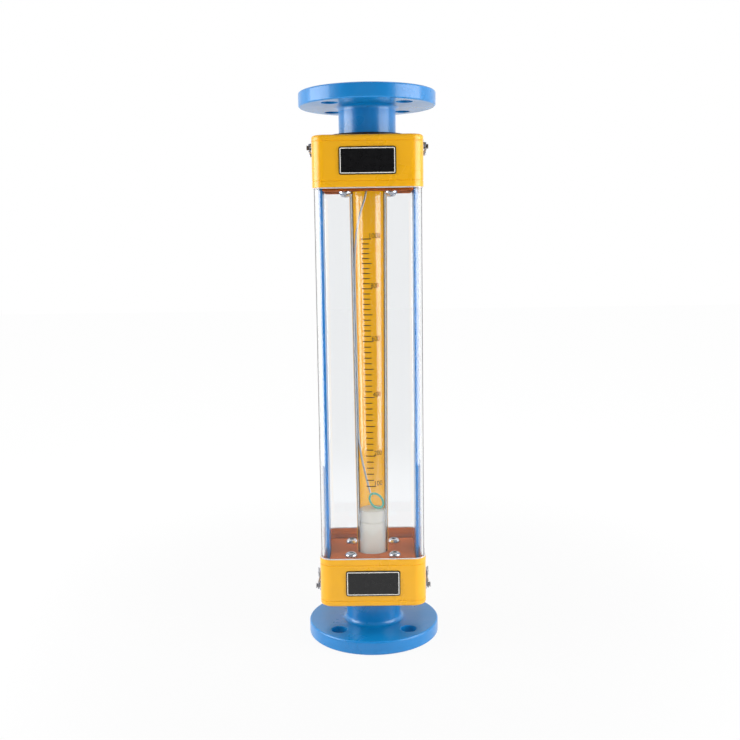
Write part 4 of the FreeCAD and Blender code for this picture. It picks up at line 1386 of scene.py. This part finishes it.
@dataclass
class TubeScale:
    """Scale printed on the front of the tapered tube, with numbers beside its long lines."""

    first: float = 1.0
    last: float = 10.0
    per_step: int = 5
    origin: float = 107.6
    rise: float = 28.20
    curve: float = -0.410
    lean: float = 1.75
    line: float = 0.8
    digit: tuple[float, float] = (2.5, 4.3)
    digit_gap: float = 0.5
    number_start: float = 0.8
    number_foot: float = 0.45
    numbered: tuple[int, ...] = (1, 2, 4, 6, 8, 10)
    part_line: Range = (-6.0, 0.1)
    whole_line: Range = (-6.3, 1.8)
    numbered_line: Range = (-6.9, 1.9)
    facet: float = 0.6
    facets: tuple[int, int] = (-8, 34)
    layer: float = 0.03
    ink: float = 0.02

    def height(self, level: float) -> float:
        """Height of a level, in hundreds of units."""
        return self.origin + self.rise * level + self.curve * level**2

    def shift(self, level: float) -> float:
        """How far to the right of the top line's place a level's line stands."""
        return self.lean * (self.last - level) / (self.last - self.first)

    def reach(self, level: float) -> tuple[float, float]:
        """Left and right end of a level's line, along the tube's surface."""
        if abs(level - round(level)) > 1e-6:
            return self.part_line
        return self.numbered_line if round(level) in self.numbered else self.whole_line

    def strip(self, low: tuple[float, float], high: tuple[float, float]) -> bpy.types.Object:
        """Flat printed line between two corners, as distance along the surface and height."""
        operate_on()
        middle = ((low[0] + high[0]) / 2 * MM, 0, (low[1] + high[1]) / 2 * MM)
        bpy.ops.mesh.primitive_plane_add(size=1, location=middle, rotation=(math.pi / 2, 0, 0))
        bpy.context.object.scale = ((high[0] - low[0]) * MM, (high[1] - low[1]) * MM, 1)
        return bpy.context.object

    def number(self, level: float) -> bpy.types.Object:
        """Flat number of a level, standing right of its line."""
        operate_on()
        bpy.ops.object.text_add()
        text = str(round(level * 100))
        bpy.context.object.data.body = text
        bpy.ops.object.convert(target="MESH")
        sign = bpy.context.object
        corners = [Vector(corner) for corner in sign.bound_box]
        low = Vector(map(min, *corners))
        size = Vector(map(max, *corners)) - low
        width = len(text) * self.digit[0] - self.digit_gap
        stretch = Vector((width / size.x, self.digit[1] / size.y, 1)) * MM
        left = self.number_start + self.shift(level)
        place = Vector((left, 0, self.height(level) + self.number_foot)) * MM
        sign.data.transform(Matrix.Translation(-low))
        turn = Matrix.Rotation(math.pi / 2, 4, "X")
        sign.data.transform(Matrix.Translation(place) @ turn @ Matrix.Diagonal((*stretch, 1)))
        return sign

    def build(self, radius: Callable[[float], float]) -> None:
        """Print the lines and numbers and wrap them round the tube.

        Args:
            radius: The tube's outer radius at a height.
        """
        steps = round((self.last - self.first) * self.per_step)
        levels = [self.first + step / self.per_step for step in range(steps + 1)]
        prints = []
        for level in levels:
            left, right = (edge + self.shift(level) for edge in self.reach(level))
            low = self.height(level) - self.line / 2
            prints.append(self.strip((left, low), (right, low + self.line)))
        prints += [self.number(level) for level in self.numbered]
        operate_on(*prints)
        bpy.ops.object.join()
        work = Workpiece(bpy.context.object, "printed_scale").settled()
        work.scored([(self.facet * step, 0, 0) for step in range(*self.facets)], (1, 0, 0))
        for point in work.piece.data.vertices:
            across, height = point.co.x / MM, point.co.z / MM
            out = radius(height) + self.layer
            turn = across / out
            point.co = Vector((out * math.sin(turn), -out * math.cos(turn), height)) * MM
        work.thickened(self.ink, 1).fit(SCALE_INK, BODY)


@dataclass
class MeteringTube:
    """Tapered glass with its yellow strip and scale, on the stops that end the float's travel."""

    low: float = 13.2
    high: float = 16.1
    wall: float = 1.7
    rounding: float = 0.5
    strip_margin: float = 12.0
    strip_layer: float = 0.12
    strip_gap: float = 0.01

    def __post_init__(self) -> None:
        """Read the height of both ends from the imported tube."""
        self.bottom, self.top = (corner.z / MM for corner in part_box("glass_tube"))

    def radius(self, height: float) -> float:
        """Outer radius at a height."""
        share = (height - self.bottom) / (self.top - self.bottom)
        return self.low + (self.high - self.low) * share

    def build(self) -> None:
        """Draw the glass, fuse its strip, print its scale and turn the stops."""
        bottom, top = self.bottom, self.top
        profile = [
            (self.low - self.wall, bottom),
            (self.low, bottom),
            (self.high, top),
            (self.high - self.wall, top),
        ]
        glass = Workpiece.turned("tapered_glass", profile, sides=160)
        glass.softened(self.rounding, 4, 60).smooth().fit(TUBE, BODY, "glass_tube")
        start, stop = bottom + self.strip_margin, top - self.strip_margin
        edges = [(self.radius(height) + self.strip_gap, height) for height in (start, stop)]
        strip = Workpiece.turned("fused_strip", edges, sides=160, joined=False)
        strip.opened(lambda middle, normal: middle.y < NEAR or abs(normal.z) > SQUARE)
        strip.thickened(self.strip_layer, 1).smooth().fit(TUBE_ENAMEL, BODY)
        TubeScale().build(self.radius)
        for end in End:
            node = f"{end.value}_stop"
            Workpiece.refined(node, 0.25, 3).fit(WHITE, BODY, node)


@dataclass
class TurnedFloat:
    """White float: reading head, groove, body, and a tail that tapers to its seat."""

    head: float = 11.7
    head_height: float = 10.0
    body: float = 11.35
    groove: tuple[float, float] = (1.2, 0.7)
    tail_radius: float = 4.0
    tail_height: float = 14.0
    chamfer: float = 0.8
    dimple: tuple[float, float] = (2.4, 1.6)
    dimple_tip: float = 0.4
    dimple_rim: float = 3.0
    edge: float = 0.2

    def build(self) -> None:
        """Turn the float between centres."""
        bottom, top = (corner.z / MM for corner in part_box("float"))
        neck = top - self.head_height
        width, sink = self.groove
        profile = [
            (self.tail_radius, bottom),
            (self.body, bottom + self.tail_height),
            (self.body, neck - width),
            (self.body - sink, neck - width),
            (self.body - sink, neck),
            (self.head, neck),
            (self.head, top - self.chamfer),
            (self.head - self.chamfer, top),
            (self.dimple[0], top),
            (self.dimple_tip, top - self.dimple[1]),
        ]
        work = Workpiece.turned("turned_float", profile, sides=144, joined=False)
        rim = self.dimple_rim
        work.softened(self.edge, 3, 30, lambda middle, along: math.hypot(*middle.xy) > rim)
        work.smooth().fit(WHITE, "float", "float")


@dataclass
class Retainer:
    """Stiff wire and its green loop, which hold the float down while the meter travels."""

    wire: float = 0.9
    wall_gap: float = 0.25
    hook: float = 2.5
    straight: float = 24.0
    cross: float = 26.0
    settle: float = 35.0
    leave: float = 62.0
    sink: float = 33.0
    bow: float = 24.0
    shares: tuple[float, float] = (0.72, 0.58)
    front: float = 1.5
    post: float = 3.0
    loop_side: float = 3.6
    loop_front: float = 2.6
    loop_long: float = 7.2
    loop_short: float = 5.0
    strand: float = 1.0
    lean: tuple[float, float] = (-0.59, 0.81)
    snug: float = 0.05
    anchor: float = 411.5
    keep: float = 0.012

    def loop_way(self) -> Vector:
        """Direction from the loop's middle to the wire."""
        return Vector((self.lean[0], 0, self.lean[1])).normalized()

    def loop_middle(self) -> Vector:
        """Middle of the loop, which rests on the float."""
        lean = self.loop_way()
        half = math.hypot(self.loop_long * lean.z, self.loop_short * lean.x)
        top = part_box("float")[1].z / MM
        return Vector((self.loop_side, -self.loop_front, top + self.snug + half + self.strand))

    def route(self, tube: MeteringTube) -> list[Vector]:
        """Points that the wire is drawn along.

        Args:
            tube: The tube whose bore it bows out to.

        Returns:
            The points, from the upper stop down.
        """
        face = End.UPPER.z(0) - End.UPPER.depths("glass_tube")[0]
        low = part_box("float")[1].z / MM

        def beside(height: float, share: float = 1.0) -> Vector:
            """Point a share of the way from the axis to the left wall of the bore."""
            reach = tube.radius(height) - tube.wall - self.wire - self.wall_gap
            across = math.sqrt(reach**2 - self.front**2)
            return Vector((-share * across, -self.front, height))

        post = -(self.post + self.wire + self.snug)
        turn = face - self.straight
        settled = turn - self.cross - self.settle
        leave = low + self.leave
        return [
            Vector((0, post, face + self.hook)),
            Vector((self.wire * 0.8, post, turn)),
            beside(turn - self.cross, self.shares[0]),
            beside(settled),
            beside(settled - self.bow),
            beside(leave + self.bow),
            beside(leave),
            beside(low + self.sink, self.shares[1]),
            self.loop_middle() + self.loop_way() * (self.loop_long + self.strand + self.wire / 2),
        ]

    def build(self, tube: MeteringTube) -> None:
        """Draw the wire and mould the loop.

        Args:
            tube: The tube that they stand in.
        """
        wire = Workpiece.drawn("retaining_wire", self.route(tube), self.wire)
        operate_on()
        bpy.ops.curve.primitive_bezier_circle_add(radius=1)
        ring = bpy.context.object.data
        bpy.data.objects.remove(bpy.context.object)
        lean = self.loop_way()
        side = Vector((lean.z, 0, -lean.x))
        frame_of_loop = Matrix((lean, side, lean.cross(side))).transposed().to_4x4()
        sizes = Matrix.Diagonal((self.loop_long, self.loop_short, 1, 1))
        place = Matrix.Translation(self.loop_middle() * MM)
        ring.transform(place @ frame_of_loop @ sizes @ Matrix.Scale(MM, 4))
        for knot in ring.splines[0].bezier_points:
            knot.radius = 1.0
        ring.resolution_u = 24
        loop = Workpiece.from_line("loop_ring", ring, self.strand)
        for work, finish, part in ((wire, WIRE_STEEL, "wire"), (loop, LOOP_GREEN, "loop")):
            piece = work.smooth(50).fit(finish, BODY, f"retainer_{part}")
            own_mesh(piece)


@dataclass
class Gland:
    """What closes a stuffing box: packing, ring, laminate plate and its four screws."""

    end: End

    def build(self) -> None:
        """Finish each piece of the gland."""
        name = self.end.value
        for part, finish, edge in (
            ("gland_ring", TURNED_STEEL, 0.3),
            ("gland_plate", LAMINATE, 0.25),
            ("gland_screws", PLATED_STEEL, 0.12),
        ):
            node = f"{name}_{part}"
            Workpiece.refined(node, edge, 2).fit(finish, BODY, node)
        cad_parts[f"{name}_packing"].material_slots[0].material = PACKING.material()


@dataclass
class Rails:
    """Side bars between the heads, with their screws."""

    edge: float = 0.4

    def build(self) -> None:
        """Finish both bars and the screws."""
        for side in Side:
            node = f"{side.value}_side_bar"
            Workpiece.refined(node, self.edge, 3).fit(BAR_BLUE, BODY, node)
        Workpiece.refined("bar_screws", 0.1).fit(PLATED_STEEL, BODY, "bar_screws")


@dataclass
class Latches:
    """Toggle latches that draw the halves of the cover together."""

    edge: float = 0.1

    def build(self) -> None:
        """Finish the plates, levers and bails, and what pins and rivets them."""
        for end in End:
            for side in Side:
                label = f"{end.value}_{side.value}"
                for part in ("base", "lever", "bail", "catch"):
                    node = f"{label}_{part}"
                    body = node if part in ("lever", "bail") else BODY
                    Workpiece.refined(node, self.edge).fit(LATCH_STEEL, body, node)
        for node in ("latch_pins", "latch_rivets"):
            Workpiece.refined(node, 0.08).fit(LATCH_STEEL, BODY, node)


# ---------------------------------------------------------------- studio


@dataclass
class Studio:
    """Pale floor, white surround, soft lamps and the camera."""

    camera_place: tuple[float, float, float] = (0.002744, -0.813636, 0.347146)
    yaw: float = -0.224
    pitch: float = -7.804
    roll: float = -0.794
    lens: float = 45.88
    sensor: float = 36.0
    aim: float = 0.235
    floor_half: float = 4.0
    floor_gap: float = 0.0002
    fill: float = 0.2
    dark_front: float = 0.06
    floor_glow: float = 0.98
    floor_shade: float = 0.04

    def camera(self) -> None:
        """Set the camera up in front of the meter."""
        yaw, pitch, roll = (math.radians(turn) for turn in (self.yaw, self.pitch, self.roll))
        flat = math.cos(pitch)
        ahead = Vector((math.sin(yaw) * flat, math.cos(yaw) * flat, math.sin(pitch)))
        level = Vector((math.cos(yaw), -math.sin(yaw), 0))
        upright = level.cross(ahead)
        right = math.cos(roll) * level + math.sin(roll) * upright
        up = math.cos(roll) * upright - math.sin(roll) * level
        turn = Matrix((right, up, -ahead)).transposed().to_4x4()
        operate_on()
        bpy.ops.object.camera_add()
        camera = bpy.context.object
        camera.name = "reader"
        camera.data.lens = self.lens
        camera.data.sensor_width = self.sensor
        camera.matrix_world = Matrix.Translation(self.camera_place) @ turn
        bpy.context.scene.camera = camera

    def light_path(self, graph: Graph) -> tuple[Socket, Socket]:
        """How the surroundings show themselves to a ray.

        Args:
            graph: Graph to place it in.

        Returns:
            Mask of the rays that show them, and their front's share of light, which is low for
            rays that a glossy surface has mirrored.
        """
        path = graph.node("ShaderNodeLightPath").outputs
        seen = graph.maths("MAXIMUM", path["Is Camera Ray"], path["Is Glossy Ray"])
        seen = graph.maths("MAXIMUM", seen, path["Is Transmission Ray"])
        mirrored = graph.maths("MINIMUM", path["Glossy Depth"], 1.0)
        return seen, graph.remap(mirrored, FULL, (1.0, self.dark_front))

    def floor(self) -> None:
        """Lay a pale floor that is white but for the shadow on it."""
        operate_on()
        place = (0, 0, -self.floor_gap)
        bpy.ops.mesh.primitive_plane_add(size=2 * self.floor_half, location=place)
        floor = bpy.context.object
        floor.name = "pale_floor"
        material = bpy.data.materials.new("pale_floor")
        material.use_nodes = True
        graph = Graph(material.node_tree)
        x, y, _ = graph.parts(graph.node("ShaderNodeTexCoord").outputs["Object"])
        near_and_far = (self.floor_glow - 0.05, self.floor_glow)
        share = graph.remap(graph.off_axis(x, y), (0.2, 0.6), near_and_far, smooth=True)
        seen, dark = self.light_path(graph)
        dim = graph.remap(y, (-0.8, -0.3), (dark, 1.0), smooth=True)
        level = graph.maths("MULTIPLY", graph.maths("MULTIPLY", share, dim), seen)
        glow = graph.node("ShaderNodeEmission", {"Color": PURE_WHITE, "Strength": level})
        shade = graph.remap(seen, FULL, (0.8, self.floor_shade))
        grey = graph.node("ShaderNodeCombineColor", {0: shade, 1: shade, 2: shade}).outputs[0]
        matt = graph.node("ShaderNodeBsdfDiffuse", {"Color": grey})
        both = graph.node("ShaderNodeAddShader", {0: glow.outputs[0], 1: matt.outputs[0]})
        graph.node("ShaderNodeOutputMaterial", {"Surface": both.outputs[0]})
        floor.data.materials.append(material)

    def surround(self) -> None:
        """White surround with a soft fill, mirrored darker in front, as a studio's own front is."""
        world = bpy.data.worlds.new("surround")
        world.use_nodes = True
        bpy.context.scene.world = world
        graph = Graph(world.node_tree)
        x, y, _ = graph.parts(graph.node("ShaderNodeTexCoord").outputs["Generated"])
        flat = graph.maths("MAXIMUM", graph.off_axis(x, y), 0.001)
        ahead = graph.maths("DIVIDE", graph.maths("MULTIPLY", y, -1.0), flat)
        seen, dark = self.light_path(graph)
        shown = graph.remap(ahead, (0.5, 0.8), (1.0, dark), smooth=True)
        level = graph.between(seen, self.fill, shown)
        sky = graph.node("ShaderNodeBackground", {"Color": PURE_WHITE, "Strength": level})
        graph.node("ShaderNodeOutputWorld", {"Surface": sky.outputs[0]})

    def lamp(
        self,
        name: str,
        place: Sequence[float],
        size: tuple[float, float],
        power: float,
        mirrored: bool,
    ) -> None:
        """Hang a soft lamp that faces the meter's middle.

        Args:
            name: Its name.
            place: Where it hangs, in metres.
            size: Its width and height, in metres.
            power: Its power in watts.
            mirrored: Whether glossy surfaces mirror it.
        """
        operate_on()
        bpy.ops.object.light_add(type="AREA", location=place)
        lamp = bpy.context.object
        lamp.name = name
        lamp.data.shape = "RECTANGLE"
        lamp.data.size, lamp.data.size_y = size
        lamp.data.energy = power
        aim = Vector((0, 0, self.aim)) - Vector(place)
        lamp.rotation_euler = aim.to_track_quat("-Z", "Y").to_euler()
        lamp.visible_glossy = lamp.visible_transmission = mirrored

    def build(self) -> None:
        """Set up everything round the meter."""
        bpy.context.scene.view_settings.view_transform = "Standard"
        self.camera()
        self.floor()
        self.surround()
        for name, place, size, power, mirrored in (
            ("left_lamp", (-0.614, -0.086, 0.31), (0.46, 0.6), 4.4, True),
            ("right_lamp", (0.583, -0.212, 0.31), (0.54, 0.6), 4.4, True),
            ("top_lamp", (0.0, 0.1, 1.7), (1.2, 1.2), 10, False),
            ("front_lamp", (0.0, -1.8, 1.1), (1.4, 1.4), 8, False),
        ):
            self.lamp(name, place, size, power, mirrored)


def main() -> None:
    """Build every piece in order, then the studio."""
    logging.basicConfig(level=logging.INFO, format="%(name)s: %(message)s", stream=sys.stdout)
    build_effects()
    for end in End:
        Fitting(end).build()
        Liner(end).build()
        Gland(end).build()
    Collar().build()
    Rails().build()
    Cover().build()
    Nameplate().build()
    tube = MeteringTube()
    tube.build()
    TurnedFloat().build()
    Retainer().build(tube)
    Latches().build()
    Studio().build()


if __name__ == "__main__":
    main()
